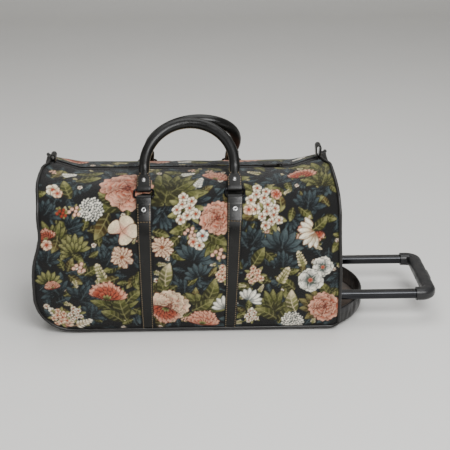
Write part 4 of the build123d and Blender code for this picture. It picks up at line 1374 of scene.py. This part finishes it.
class BAG_OT_gusset(bpy.types.Operator):
    """Covers both ends and the base in vinyl"""

    bl_idname = "carpet_bag.gusset"
    bl_label = "Vinyl gusset"

    def execute(self, context):
        """Casts each panel from its CAD node and swells the two ends."""
        for name, sign, flat_to in (("wheel_end", -1, 0.0), ("handle_end", 1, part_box("tube_bezel")[1].z)):
            node = name + "_panel"
            outward = ALONG * sign
            low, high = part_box(node)
            shares = 1 - (1 - np.linspace(0, 1, END_ROWS)) ** ROW_CROWDING
            heights = low.z + ROW_INSET + (high.z - low.z - 2 * ROW_INSET) * shares
            lines = [(outward * FAR + UP * z, -outward) for z in heights]
            points, met = met_grid(ray_tree(node), lines, high.y + MM)
            points = puffed(points, outward, flat_to)
            points[..., 0] += end_lean(points, sign)
            points[0, :, 2] -= SEAM_TUCK
            rows = [points[2:-2, column] + outward * STITCH_LIFT for column in (2, -3)]
            stitched(name + "_seam_stitches", rows, "bag", "vinyl", "zip_tape")
            points = np.concatenate([points, points[-1:] - outward * TOP_FOLD])
            met = np.concatenate([met, met[-1:]])
            vinyl_piece(name + "_vinyl", points, met, node, outward)
        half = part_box("base_panel")[1].y + MM
        points, met = met_grid(ray_tree("base_panel"), base_lines(), half)
        points[[0, -1], :, 2] += SEAM_TUCK
        vinyl_piece("base_vinyl", points, met, "base_panel", -ALONG)
        return {"FINISHED"}


# Straps, rings and carry handles

FOLD_LENGTH = 44 * MM
# The fold comes down from the ring onto the strap over this length
FOLD_FALL = 15 * MM
BASE_STEPS = 90
LOOP_STEPS = 14
FOLD_STEPS = 34
# Steps after the loop before the fold's stitches start
FOLD_REST = 10
# Rays this far to each side give the panel's slope at a place, in radians
RAY_STEP = 0.004
TONGUE_STEPS = 20
TONGUE = 21 * MM
TONGUE_LIFT = 0.9 * MM
TONGUE_THICKNESS = 1.6 * MM
LOOP_GAP = 0.2 * MM


def ring_bars(side):
    """Middle of a front ring along X, and its lower and upper bars in Y and Z."""
    low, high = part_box("front_ring_" + side)
    half = RING_WIRE / 2
    return (low.x + high.x) / 2, (low.y + half, low.z + half), (high.y - half, high.z - half)


def strap_path(side):
    """Middle line of a front strap, from its foot up, round the ring's bar and down to the fold's end."""
    top, bar, _ = ring_bars(side)
    foot_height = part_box("front_strap_" + side)[0].z
    start = float(FRONT.girth_at_height(foot_height))
    away = np.hypot(FRONT.section[:, 1] - bar[0], FRONT.section[:, 2] - bar[1])
    at_bar = FRONT.girth[away.argmin()]
    clear = away.min()
    reach = RING_WIRE / 2 + LOOP_GAP + FOLD_THICKNESS / 2

    def above(girth, lift):
        angle = FRONT.angle_at(girth)
        here, there = (np.array(FRONT.meet(0.0, angle + step)) for step in (-RAY_STEP, RAY_STEP))
        along = unit(there - here)
        return np.array(FRONT.meet(0.0, angle)) + np.array([0.0, -along[2], along[1]]) * lift

    girths = np.linspace(start, at_bar, BASE_STEPS)
    base = np.stack([girths, np.full(BASE_STEPS, STRAP_THICKNESS / 2)], axis=-1)
    turn = np.linspace(0, math.pi, LOOP_STEPS + 2)[1:-1]
    loop = np.stack([at_bar + reach * np.sin(turn), clear - reach * np.cos(turn)], axis=-1)
    lower = STRAP_THICKNESS + FOLD_THICKNESS / 2
    down = np.linspace(0, 1, FOLD_STEPS) * FOLD_LENGTH
    drop = smooth_step(1 - down / FOLD_FALL)
    fold = np.stack([at_bar - down, lower + (clear + reach - lower) * drop], axis=-1)
    path = np.array([above(*place) for place in np.concatenate([base, loop, fold])])
    share = np.clip((path[:, 2] - foot_height) / (bar[1] - foot_height), 0, 1)
    path[:, 0] = top + STRAPS[side] * (1 - share)
    widths = STRAP_FOOT_WIDTH + (STRAP_TOP_WIDTH - STRAP_FOOT_WIDTH) * share
    girths = np.linspace(at_bar - TONGUE, at_bar + TONGUE, TONGUE_STEPS)
    tongue = np.array([above(girth, TONGUE_LIFT) for girth in girths])
    tongue[:, 0] = top
    return path, widths, tongue


def edge_rows(path, widths, lift):
    """Two stitch lines just inside a strap's edges, on its face."""
    _, wide, high = run_frames(path, ALONG)
    inset = (widths / 2 - leather().inset)[:, None]
    face = path + high * (lift + STITCH_LIFT)
    return [face + wide * inset * sign for sign in (-1, 1)]


class BAG_OT_straps(bpy.types.Operator):
    """Sews the four leather straps down the panels, folded round their rings"""

    bl_idname = "carpet_bag.straps"
    bl_label = "Straps"

    def execute(self, context):
        """Sweeps each strap round its ring and stitches its edges."""
        rows = {name: [] for name in SIDES}
        rest = BASE_STEPS + LOOP_STEPS + FOLD_REST
        for side in STRAPS:
            path, widths, tongue = strap_path(side)
            thick = np.where(np.arange(len(path)) < BASE_STEPS, STRAP_THICKNESS, FOLD_THICKNESS)
            sections = np.stack([band_section(*size) for size in zip(widths, thick)])
            under = np.stack([band_section(STRAP_TOP_WIDTH, TONGUE_THICKNESS)] * len(tongue))
            stop = BASE_STEPS - int(FOLD_LENGTH / np.linalg.norm(path[1] - path[0])) - 1
            base_rows = edge_rows(path[:stop], widths[:stop], STRAP_THICKNESS / 2)
            fold_rows = edge_rows(path[rest:][::-1], widths[rest:][::-1], FOLD_THICKNESS / 2)
            end_row = np.stack([row[0] for row in fold_rows])
            for name, sign in SIDES.items():
                mirror = mirrored(sign)
                shells = [swept(path * mirror, ALONG, sections), swept(tongue * mirror, ALONG, under)]
                piece = new_piece(f"{name}_leather_strap_{side}", *merged(shells), "strap_leather")
                put(piece, "bag", "strap_leather", f"{name}_strap_{side}")
                rows[name] += [row * mirror for row in base_rows + fold_rows + [end_row]]
        for name in SIDES:
            stitched(name + "_strap_stitches", rows[name], "bag")
        return {"FINISHED"}


GRIP_RADIUS = 10 * MM
# Half width and half thickness of the grip's flat neck, and how much each grows into the roll
NECK_HALVES = (7.5 * MM, 1.6 * MM)
ROLL_GAINS = (2.0 * MM, 7.9 * MM)
ROLL_SQUARENESS = 2.2
ROLL_CROWN_SHARE = 0.06
NECK_START = 16 * MM
LEG_STEPS = 22
ARCH_STEPS = 90
TAB_WIDTH = 26 * MM
TAB_TIP_WIDTH = 15 * MM
TAB_LENGTH = 34 * MM
TAB_THICKNESS = 2.3 * MM
TAB_SPREAD = 1.2 * MM
# Heights above the ring's bar where the tab leaves its loop and where it starts to narrow
TAB_FOOT = 7 * MM
TAB_NARROWS = 21 * MM
TAB_STEPS = 22
# The tab's loop opens at this turn, in radians
LOOP_START = 0.35
TAB_LOOP_STEPS = 14
# The tabs' stitches run closer to the edge than the straps', and the grip's seam just proud of its skin
TAB_INSET_SHARE = 0.8
SEAM_LIFT_SHARE = 1.01


def handle_plane():
    """Pivot, half span, reach and rising direction of the front handle's own plane."""
    left, right = ring_bars("left"), ring_bars("right")
    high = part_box("front_handle")[1]
    pivot = np.array([(left[0] + right[0]) / 2, left[2][0], left[2][1]])
    top = np.array([pivot[0], high.y - GRIP_RADIUS, high.z - GRIP_RADIUS])
    rise = unit(top - pivot)
    return pivot, (right[0] - left[0]) / 2, float(np.linalg.norm(top - pivot)), rise


def handle_grip(half, reach):
    """Rolled grip in the handle's plane: places along and up, and its sections."""
    spring = reach - half
    leg = np.linspace(NECK_START, spring, LEG_STEPS)[:-1]
    turn = np.linspace(0, math.pi, ARCH_STEPS)
    along = np.concatenate([np.full(leg.size, -half), -half * np.cos(turn), np.full(leg.size, half)])
    up = np.concatenate([leg, spring + half * np.sin(turn), leg[::-1]])
    swell = smooth_step((up - NECK_START) / (spring - NECK_START))
    crown = 1 + ROLL_CROWN_SHARE * np.sin(np.arange(up.size) / up.size * math.pi)
    halves = (np.array(NECK_HALVES) + np.outer(swell, ROLL_GAINS)) * crown[:, None]
    return along, up, np.stack([oval(*pair, ROLL_SQUARENESS) for pair in halves])


def tab_band():
    """Leather tab folded round a ring bar: places up and out of the handle's plane, and its widths."""
    radius = RING_WIRE / 2 + LOOP_GAP + TAB_THICKNESS / 2
    heights = np.linspace(TAB_LENGTH, TAB_FOOT, TAB_STEPS)
    turn = np.linspace(LOOP_START, math.pi - LOOP_START, TAB_LOOP_STEPS)
    front = np.stack([heights, np.full(TAB_STEPS, -TAB_THICKNESS / 2 - TAB_SPREAD)], axis=-1)
    loop = -radius * np.stack([np.sin(turn), np.cos(turn)], axis=-1)
    run = np.concatenate([front, loop, front[::-1] * np.array([1.0, -1.0])])
    narrow = smooth_step((run[:, 0] - TAB_NARROWS) / (TAB_LENGTH - TAB_NARROWS))
    return run, TAB_WIDTH - (TAB_WIDTH - TAB_TIP_WIDTH) * narrow


class BAG_OT_handles(bpy.types.Operator):
    """Rolls the two carry handles and folds their tabs round the rings"""

    bl_idname = "carpet_bag.handles"
    bl_label = "Carry handles"

    def execute(self, context):
        """Builds a front handle in its own plane and mirrors it to the back."""
        pivot, half, reach, rise = handle_plane()
        out = np.array([0.0, -rise[2], rise[1]])
        sways = {-1: leather().front_sway, 1: leather().back_sway}
        along, up, sections = handle_grip(half, reach)
        run, widths = tab_band()
        bands = np.stack([band_section(width, TAB_THICKNESS) for width in widths])
        lift = max(CROWN_SHARES) * TAB_THICKNESS + STITCH_LIFT
        insets = (widths / 2 - leather().inset * TAB_INSET_SHARE)[:, None]

        def placed(along, up, off, sign):
            lean = sways[sign] * smooth_step(up / reach)
            at = pivot + (along + lean)[:, None] * ALONG + up[:, None] * rise + off[:, None] * out
            return at * mirrored(sign)

        for name, sign in SIDES.items():
            mirror = mirrored(sign)
            path = placed(along, up, np.zeros_like(up), sign)
            wide = unit(np.cross(out * mirror, unit(np.gradient(path, axis=0))))
            parts = [swept(path, wide, sections)]
            rows = [path + wide * sign * sections[:, :, 0].max(axis=1)[:, None] * SEAM_LIFT_SHARE]
            for end in (-1, 1):
                tab = placed(np.full(len(run), end * half), *run.T, sign)
                parts.append(swept(tab, ALONG, bands))
                for layer in (slice(TAB_STEPS), slice(None, -TAB_STEPS - 1, -1)):
                    face = tab[layer] + np.sign(run[layer][0, 1]) * out * mirror * lift
                    rows += [face + edge * ALONG * insets[layer] for edge in (-1, 1)]
            body = "handle_" + name
            piece = new_piece(name + "_rolled_handle", *merged(parts), "strap_leather")
            put(piece, body, "strap_leather", name + "_handle")
            stitched(name + "_handle_stitches", rows, body)
        return {"FINISHED"}


# Rivets and screws

# Radius and height of each kind of head
STRAP_RIVET = (4.6 * MM, 4.4 * MM)
HANDLE_RIVET = (3.9 * MM, 2.6 * MM)
BEZEL_SCREW = (2.8 * MM, 1.2 * MM)
HOUSING_SCREW = (2.6 * MM, 1.1 * MM)
BEZEL_INSET = 9 * MM
# Housing screws from the sides, from the top and from the foot
HOUSING_INSETS = (6.5 * MM, 8 * MM, 40 * MM)
# Points of one head lie within this of each other, and rays at it start further out than its leather
HEAD_SPREAD = 20 * MM
HEAD_CLEAR = 30 * MM


def clusters(node):
    """Middles of a node's separate heads."""
    found = []
    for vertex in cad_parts[node].data.vertices:
        for group in found:
            if (vertex.co - group[0]).length < HEAD_SPREAD:
                group.append(vertex.co.copy())
                break
        else:
            found.append([vertex.co.copy()])
    return [(np.min(group, axis=0) + np.max(group, axis=0)) / 2 for group in found]


class BAG_OT_rivets(bpy.types.Operator):
    """Sets the rivets of the straps and handle tabs and the screws of the bezel and housings"""

    bl_idname = "carpet_bag.rivets"
    bl_label = "Rivets and screws"

    def execute(self, context):
        """Sets a head over each CAD rivet, on the finished leather, and screws in the plastic."""
        straps = [f"{name}_leather_strap_{side}" for name in SIDES for side in STRAPS]
        self.heads("strap_rivets", straps, "bag", "ring", STRAP_RIVET)
        for name in SIDES:
            node = name + "_handle_rivets"
            self.heads(node, [name + "_rolled_handle"], "handle_" + name, "dome", HANDLE_RIVET)
        self.bezel_screws()
        self.housing_screws()
        return {"FINISHED"}

    def bezel_screws(self):
        """Screws at the corners of the bezel's face."""
        low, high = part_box("tube_bezel")
        sides = (low.y + BEZEL_INSET, high.y - BEZEL_INSET)
        levels = (low.z + BEZEL_INSET, high.z - BEZEL_INSET)
        places = [(high.x, y, z) for y in sides for z in levels]
        facing = [tuple(ALONG)] * len(places)
        put(self.grow("bezel_screws", places, facing, "dome", BEZEL_SCREW), "bag", "rivet_metal")

    def housing_screws(self):
        """Screws at the corners of both wheel housings' outer faces."""
        places, facing = [], []
        for side in SIDES:
            node = "wheel_housing_" + side
            low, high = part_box(node)
            tree = ray_tree(node)
            aside, below, above = HOUSING_INSETS
            for y in (low.y + aside, high.y - aside):
                for z in (high.z - below, low.z + above):
                    start = Vector((low.x - FAR, y, z))
                    point, normal, _, _ = tree.ray_cast(start, Vector(ALONG))
                    places.append(tuple(point))
                    facing.append(tuple(normal))
        put(self.grow("housing_screws", places, facing, "dome", HOUSING_SCREW), "bag", "rivet_metal")

    def heads(self, node, carriers, body, shape, size):
        """Heads where lines through a node's rivets meet the leather that carries them."""
        trees = [mesh_tree(bpy.data.objects[name].data) for name in carriers]
        places, facing = [], []
        for middle in clusters(node):
            outward = Vector((0.0, math.copysign(1.0, middle[1]), 0.0))
            hits = [tree.ray_cast(Vector(middle) + outward * HEAD_CLEAR, -outward) for tree in trees]
            point, normal, _, _ = min((hit for hit in hits if hit[0]), key=lambda hit: hit[3])
            places.append(tuple(point))
            facing.append(tuple(normal if normal.y * outward.y > 0 else -normal))
        put(self.grow(node + "_set", places, facing, shape, size), body, "rivet_metal", node)

    def grow(self, name, places, facing, shape, size):
        """Heads of one shape at places."""
        if shape not in TREES:
            TREES[shape] = rivet_tree(shape)
        carrier = bpy.data.meshes.new(name)
        carrier.from_pydata(places, [], [])
        stored = carrier.attributes.new("facing", "FLOAT_VECTOR", "POINT")
        stored.data.foreach_set("vector", np.ravel(facing))
        values = {"Radius": size[0], "Height": size[1], "Finish": finish_of("rivet_metal")}
        return grown(name, carrier, TREES[shape], values)


# Zip and end tabs

TAPE_ROWS = 8
TAPE_COLUMNS = 150
TAPE_INSET = 0.2 * MM
TOOTH_OFFSET = 1.0 * MM
TOOTH_SINK_SHARE = 0.4
CHAIN_STEP = 2 * MM
CORD_STEP = 6 * MM
CORD_DEPTH = 1.3 * MM
CORD_HALVES = (2.6 * MM, 0.7 * MM)


def drop_on(tree, x, y):
    """Top of a node under a place, or nothing."""
    return tree.ray_cast(Vector((x, y, FAR)), Vector((0.0, 0.0, -1.0)))[0]


class BAG_OT_zip(bpy.types.Operator):
    """Lays the zip's tapes, teeth and cord along the top"""

    bl_idname = "carpet_bag.zip"
    bl_label = "Zip"

    def execute(self, context):
        """Drapes a woven tape on each side, with two rows of teeth and their cord between them."""
        for side in SIDES:
            node = side + "_zip_tape"
            low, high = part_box(node)
            tree = ray_tree(node)
            xs = np.linspace(low.x + MM, high.x - MM, TAPE_COLUMNS)
            ys = np.linspace(low.y + TAPE_INSET, high.y - TAPE_INSET, TAPE_ROWS)
            points = np.array([drop_on(tree, x, y) or (x, y, low.z) for y in ys for x in xs])
            faces = grid_faces(TAPE_ROWS, TAPE_COLUMNS)
            piece = new_piece(side + "_woven_tape", points, faces, "zip_tape", closed=False)
            put(piece, "bag", "zip_tape", node)
        tree = ray_tree("zip_chain")
        low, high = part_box("zip_chain")
        xs = np.arange(low.x + CHAIN_STEP, high.x - CHAIN_STEP, CHAIN_STEP)
        top = np.array([drop_on(tree, x, 0.0) for x in xs])
        stagger = ALONG * fittings().tooth_pitch / 4 + ACROSS * TOOTH_OFFSET
        sink = UP * TOOTH_SINK_SHARE * TOOTH_SIZE[0]
        toothed("zip_teeth", [top + sign * stagger - sink for sign in (-1, 1)], "zip_chain")
        line = even_run(top - UP * CORD_DEPTH, CORD_STEP)
        sections = np.stack([oval(*CORD_HALVES, 3.0, 12)] * len(line))
        put(new_piece("zip_cord", *swept(line, ACROSS, sections), "zip_tape"), "bag", "zip_tape")
        return {"FINISHED"}


END_TAB_THICKNESS = 2.6 * MM
# How far the tab's two legs close in at its foot, and where its stitches cross them
PINCH_SHARE = 0.62
STITCH_RISE_SHARE = 0.45
STITCH_OUT_SHARE = 0.8
END_LEG_STEPS = 14
END_BEND_STEPS = 24


class BAG_OT_tabs(bpy.types.Operator):
    """Folds the two leather tabs at the zip's ends"""

    bl_idname = "carpet_bag.tabs"
    bl_label = "Zip end tabs"

    def execute(self, context):
        """Folds a band over at its top and stitches it across."""
        for node in ("handle_end_tab", "wheel_end_tab"):
            low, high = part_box(node)
            middle = (low.x + high.x) / 2
            radius = (high.x - low.x) / 2 - END_TAB_THICKNESS / 2
            crest = high.z - radius - END_TAB_THICKNESS / 2
            legs = np.linspace(low.z, crest, END_LEG_STEPS)[:-1]
            open_share = smooth_step((legs - low.z) / (crest - low.z))
            squeeze = radius * (PINCH_SHARE + (1 - PINCH_SHARE) * open_share)
            turn = np.linspace(0, math.pi, END_BEND_STEPS)
            off = np.concatenate([-squeeze, -radius * np.cos(turn), squeeze[::-1]])
            rise = np.concatenate([legs, crest + radius * np.sin(turn), legs[::-1]])
            path = (middle + off)[:, None] * ALONG + rise[:, None] * UP
            width = high.y - low.y
            sections = np.stack([band_section(width, END_TAB_THICKNESS)] * len(path))
            piece = new_piece(node + "_leather", *swept(path, ACROSS, sections), "strap_leather")
            put(piece, "bag", "strap_leather", node)
            out = radius * STITCH_OUT_SHARE + END_TAB_THICKNESS * max(CROWN_SHARES) + STITCH_LIFT
            level = UP * (low.z + (crest - low.z) * STITCH_RISE_SHARE)
            across = np.outer((-1, 1), ACROSS * (width / 2 - leather().inset))
            rows = [across + ALONG * (middle + face * out) + level for face in (-1, 1)]
            stitched(node + "_stitches", rows, "bag")
        return {"FINISHED"}


# Pouch for the trolley grip

POUCH_TURNS = 121
POUCH_ROWS = 24
POUCH_INSET = 0.4 * MM
# Rays at the wall turn about a line this far inside the end panel, and its slack spreads from further in
POUCH_AXIS = 2 * MM
POUCH_SPREAD = 50 * MM
POUCH_BELLY = 2.5 * MM
POUCH_SLACK = 2.2 * MM
# Powers that flatten the belly and the slack over the wall's height
BELLY_POWER = 0.8
SLACK_POWER = 0.6
POUCH_DRAW_IN = 2.0 * MM
POUCH_WALL = 2.0 * MM
POUCH_WAVES = (45.0, 6.0, 1.0)
# Finer folds, drawn together round the wall and out over its height
POUCH_FOLDS = (60.0, 9.0, 0.7)
FOLD_STRETCH = (2.4, 0.8)
FLOOR_TUCK = 3 * MM
LINING_GAP = 2.6 * MM
LIP_LIFT = 0.7 * MM
LIP_TEETH_SHARE = 0.7


class BAG_OT_pouch(bpy.types.Operator):
    """Sews the bowed pouch that the trolley grip stows in"""

    bl_idname = "carpet_bag.pouch"
    bl_label = "Grip pouch"

    def execute(self, context):
        """Makes the slack wall with its floor, lining and zipped lip."""
        low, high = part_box("grip_pouch")
        heights = np.linspace(low.z + POUCH_INSET, high.z - POUCH_INSET, POUCH_ROWS)
        soft, outward = self.wall(low, high, heights)
        foot = soft[:1] - outward[:1] * FLOOR_TUCK
        middle = foot[0].mean(axis=0)
        piece = self.cup("soft_grip_pouch", np.concatenate([foot, soft]), middle, "vinyl")
        thick = piece.modifiers.new("wall", "SOLIDIFY")
        thick.thickness = POUCH_WALL
        thick.offset = -1.0
        put(piece, "bag", "vinyl", "grip_pouch")
        foot = foot + UP * LINING_GAP - outward[:1] * LINING_GAP
        inner = np.concatenate([foot, soft - outward * LINING_GAP])
        lining = self.cup("pouch_lining", inner, middle + UP * LINING_GAP, "lining")
        put(lining, "bag", "vinyl")
        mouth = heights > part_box("pouch_zip_tape")[0].z
        self.lip(soft[mouth], outward[mouth])
        return {"FINISHED"}

    def wall(self, low, high, heights):
        """Points of the slack wall, in rows from seam to seam, and the ways that they face."""
        tree = ray_tree("grip_pouch")
        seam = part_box("handle_end_panel")[1].x
        turns = np.linspace(-TAU / 4, TAU / 4, POUCH_TURNS)[1:-1]

        def met(turn, z):
            outward = Vector((math.cos(turn), math.sin(turn), 0.0))
            start = Vector((seam - POUCH_AXIS, 0.0, z)) + outward * FAR
            return tree.ray_cast(start, -outward)[0] or (seam, math.copysign(high.y, turn), z)

        points = np.array([[met(turn, z) for turn in turns] for z in heights])
        rise = np.sin(math.pi * (heights - low.z) / (high.z - low.z))[:, None]
        steps = np.linalg.norm(np.diff(points[0], axis=0), axis=1)
        around, up = np.meshgrid(np.cumsum([0, *steps]), heights)
        crease = field(around, up, POUCH_WAVES)
        crease += field(around * FOLD_STRETCH[0], up * FOLD_STRETCH[1], POUCH_FOLDS)
        outward = unit(points - ALONG * (seam - POUCH_SPREAD))
        outward[..., 2] = 0
        slack = POUCH_SLACK * rise ** SLACK_POWER * crease
        lift = POUCH_BELLY * rise ** BELLY_POWER + slack - POUCH_DRAW_IN
        soft = points + outward * lift[..., None]
        sewn = soft[:, [0, -1]]
        sewn[..., 0] = low.x
        soft = np.concatenate([sewn[:, :1], soft, sewn[:, 1:]], axis=1)
        return soft, np.concatenate([outward[:, :1], outward, outward[:, -1:]], axis=1)

    def cup(self, name, rows, middle, slot):
        """A wall of rows from the foot up, with a floor that closes its foot."""
        columns = rows.shape[1]
        faces = grid_faces(*rows.shape[:2]).tolist()
        floor = rows.shape[0] * columns
        faces += [[step + 1, step, floor] for step in range(columns - 1)] + [[0, columns - 1, floor]]
        return new_piece(name, np.concatenate([rows.reshape(-1, 3), [middle]]), faces, slot, closed=False)

    def lip(self, wall, outward):
        """Zip tape round the pouch's mouth, with one row of teeth along its top."""
        tape = wall + outward * LIP_LIFT
        faces = grid_faces(*tape.shape[:2])
        piece = new_piece("pouch_woven_tape", tape.reshape(-1, 3), faces, "zip_tape", closed=False)
        put(piece, "bag", "zip_tape", "pouch_zip_tape")
        toothed("pouch_zip_teeth", [even_run(tape[-1] - UP * TOOTH_SIZE[1] * LIP_TEETH_SHARE, MM)])


# Wheels

TYRE_FACES = 96
TREAD_STEPS = 61
SHOULDER = 3 * MM
GROOVE_PLACE = 3.6 * MM
GROOVE_WIDTH = 0.7 * MM
GROOVE_DEPTH = 0.9 * MM


class BAG_OT_tyres(bpy.types.Operator):
    """Turns the two grooved tyres"""

    bl_idname = "carpet_bag.tyres"
    bl_label = "Tyres"

    def execute(self, context):
        """Spins a tyre's section, with round shoulders and two grooves, about each axle."""
        for side in SIDES:
            node = "wheel_tyre_" + side
            low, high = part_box(node)
            middle = (low + high) / 2
            half, radius = (high.y - low.y) / 2, (high.z - low.z) / 2
            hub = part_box("wheel_hub_" + side)
            bore = (hub[1].z - hub[0].z) / 2
            off = np.linspace(-half, half, TREAD_STEPS)
            past = np.clip((np.abs(off) - half + SHOULDER) / SHOULDER, 0, 1)
            reach = radius - SHOULDER * (1 - np.sqrt(1 - past ** 2))
            reach -= GROOVE_DEPTH * np.exp(-(((np.abs(off) - GROOVE_PLACE) / GROOVE_WIDTH) ** 2))
            reach, off = np.append(reach, [bore, bore]), np.append(off, [half, -half])
            turn = np.arange(TYRE_FACES) / TYRE_FACES * TAU
            ring = [reach * np.cos(turn)[:, None], np.broadcast_to(off, (TYRE_FACES, off.size))]
            points = np.stack([*ring, reach * np.sin(turn)[:, None]], axis=-1) + np.array(middle)
            faces = grid_faces(TYRE_FACES + 1, off.size, ring=True) % (TYRE_FACES * off.size)
            piece = new_piece(node + "_tread", points.reshape(-1, 3), faces, "tyre")
            put(piece, "wheel_" + side, "tyre", node)
        return {"FINISHED"}


# Fittings that keep their CAD shape

CAD_FINISHES = {
    "zip_metal": ("zip_slider", "zip_pull"),
    "ring_metal": ("front_ring_left", "front_ring_right", "back_ring_left", "back_ring_right"),
    "tube_metal": ("inner_tube_front", "inner_tube_back"),
    "outer_tube_metal": ("outer_tube_front", "outer_tube_back", "tube_brace"),
    "grip_plastic": ("trolley_grip", "release_button", "tube_bezel", "tube_bushes"),
    "housing_plastic": ("wheel_housing_front", "wheel_housing_back", "base_runners"),
    "hub_plastic": ("wheel_hub_front", "wheel_hub_back"),
    "axle_steel": ("wheel_axle_front", "wheel_axle_back"),
    "board": ("base_board",),
}


class BAG_OT_fittings(bpy.types.Operator):
    """Finishes the metal and plastic fittings"""

    bl_idname = "carpet_bag.fittings"
    bl_label = "Fittings"

    def execute(self, context):
        """Gives each kept CAD node its procedural finish."""
        for slot, nodes in CAD_FINISHES.items():
            for node in nodes:
                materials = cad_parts[node].data.materials
                materials.clear()
                materials.append(finish_of(slot))
        return {"FINISHED"}


# Stage

# Place and width of each soft light
LIGHTS = {
    "key": ((0.9, -2.1, 1.9), 1.4),
    "fill": ((-1.9, -1.5, 1.0), 1.8),
    "top": ((0.1, 0.4, 2.4), 2.0),
}
LIGHT_AIM = (0.05, 0.0, 0.16)
ROOM_COLOUR = (1.0, 0.99, 0.96, 1.0)
FLOOR_FRONT = -4.0
FLOOR_BACK = 3.2
FLOOR_HALF = 6.0
FLOOR_BEND = 0.9
FLOOR_RISE = 3.0


class BAG_OT_stage(bpy.types.Operator):
    """Sets the floor, lights and camera"""

    bl_idname = "carpet_bag.stage"
    bl_label = "Studio stage"

    def execute(self, context):
        """Builds a swept paper floor, three soft lights and the camera."""
        group = context.scene.carpet_bag_stage
        self.floor()
        for name, (place, width) in LIGHTS.items():
            self.light(name, place, width, getattr(group, name))
        world = bpy.data.worlds.new("room")
        world.use_nodes = True
        inputs = world.node_tree.nodes["Background"].inputs
        inputs["Color"].default_value = ROOM_COLOUR
        inputs["Strength"].default_value = group.world
        context.scene.world = world
        self.camera(group)
        return {"FINISHED"}

    def floor(self):
        """Paper that runs back and curves up."""
        profile = [(FLOOR_FRONT, 0.0)]
        for turn in np.linspace(0, TAU / 4, 16):
            profile.append((FLOOR_BACK + FLOOR_BEND * math.sin(turn), FLOOR_BEND * (1 - math.cos(turn))))
        profile.append((FLOOR_BACK + FLOOR_BEND, FLOOR_RISE))
        points = [(x, y, z) for x in (-FLOOR_HALF, FLOOR_HALF) for y, z in profile]
        piece = new_piece("studio_floor", points, grid_faces(2, len(profile)), "floor", closed=False)

    def light(self, name, place, size, power):
        """A soft square light that faces the bag."""
        lamp = bpy.data.lights.new(name, "AREA")
        lamp.size = size
        lamp.energy = power
        holder = bpy.data.objects.new(name, lamp)
        aim = Vector(LIGHT_AIM) - Vector(place)
        holder.location = place
        holder.rotation_euler = aim.to_track_quat("-Z", "Y").to_euler()
        bpy.context.scene.collection.objects.link(holder)

    def camera(self, group):
        """Camera at the photograph's viewing angle."""
        heading = Vector((math.sin(group.yaw), math.cos(group.yaw), 0.0))
        forward = heading * math.cos(group.pitch) - Vector((0.0, 0.0, math.sin(group.pitch)))
        level = Vector((math.cos(group.yaw), -math.sin(group.yaw), 0.0))
        upright = level.cross(forward)
        right = level * math.cos(group.roll) + upright * math.sin(group.roll)
        up = upright * math.cos(group.roll) - level * math.sin(group.roll)
        place = Vector((group.target_x, 0.0, group.target_z)) - forward * group.distance
        camera = bpy.data.cameras.new("camera")
        camera.sensor_width = SENSOR_WIDTH
        camera.lens = group.focal / PICTURE_WIDTH * SENSOR_WIDTH
        holder = bpy.data.objects.new("camera", camera)
        turn = Matrix((right, up, -forward)).transposed()
        holder.matrix_world = Matrix.Translation(place) @ turn.to_4x4()
        bpy.context.scene.collection.objects.link(holder)
        bpy.context.scene.camera = holder


OPERATORS = (
    BAG_OT_stage,
    BAG_OT_tapestry,
    BAG_OT_piping,
    BAG_OT_gusset,
    BAG_OT_straps,
    BAG_OT_handles,
    BAG_OT_rivets,
    BAG_OT_zip,
    BAG_OT_tabs,
    BAG_OT_pouch,
    BAG_OT_tyres,
    BAG_OT_fittings,
)


class BAG_PT_sidebar(bpy.types.Panel):
    """Lists the bag's pieces in the sidebar"""

    bl_idname = "BAG_PT_sidebar"
    bl_label = "Carpet bag"
    bl_space_type = "VIEW_3D"
    bl_region_type = "UI"
    bl_category = "Carpet bag"

    def draw(self, context):
        """One button for each operator."""
        for operator in OPERATORS:
            self.layout.operator(operator.bl_idname)


CLASSES = (*GROUPS.values(), *OPERATORS, BAG_PT_sidebar)


def register():
    """Registers the classes and the settings."""
    for cls in CLASSES:
        bpy.utils.register_class(cls)
    for name, group in GROUPS.items():
        setattr(bpy.types.Scene, name, PointerProperty(type=group))


def unregister():
    """Removes the settings and the classes."""
    for name in GROUPS:
        delattr(bpy.types.Scene, name)
    for cls in reversed(CLASSES):
        bpy.utils.unregister_class(cls)


def main():
    """Builds every piece in order."""
    register()
    for operator in OPERATORS:
        group, name = operator.bl_idname.split(".")
        getattr(getattr(bpy.ops, group), name)()


if __name__ == "__main__":
    main()
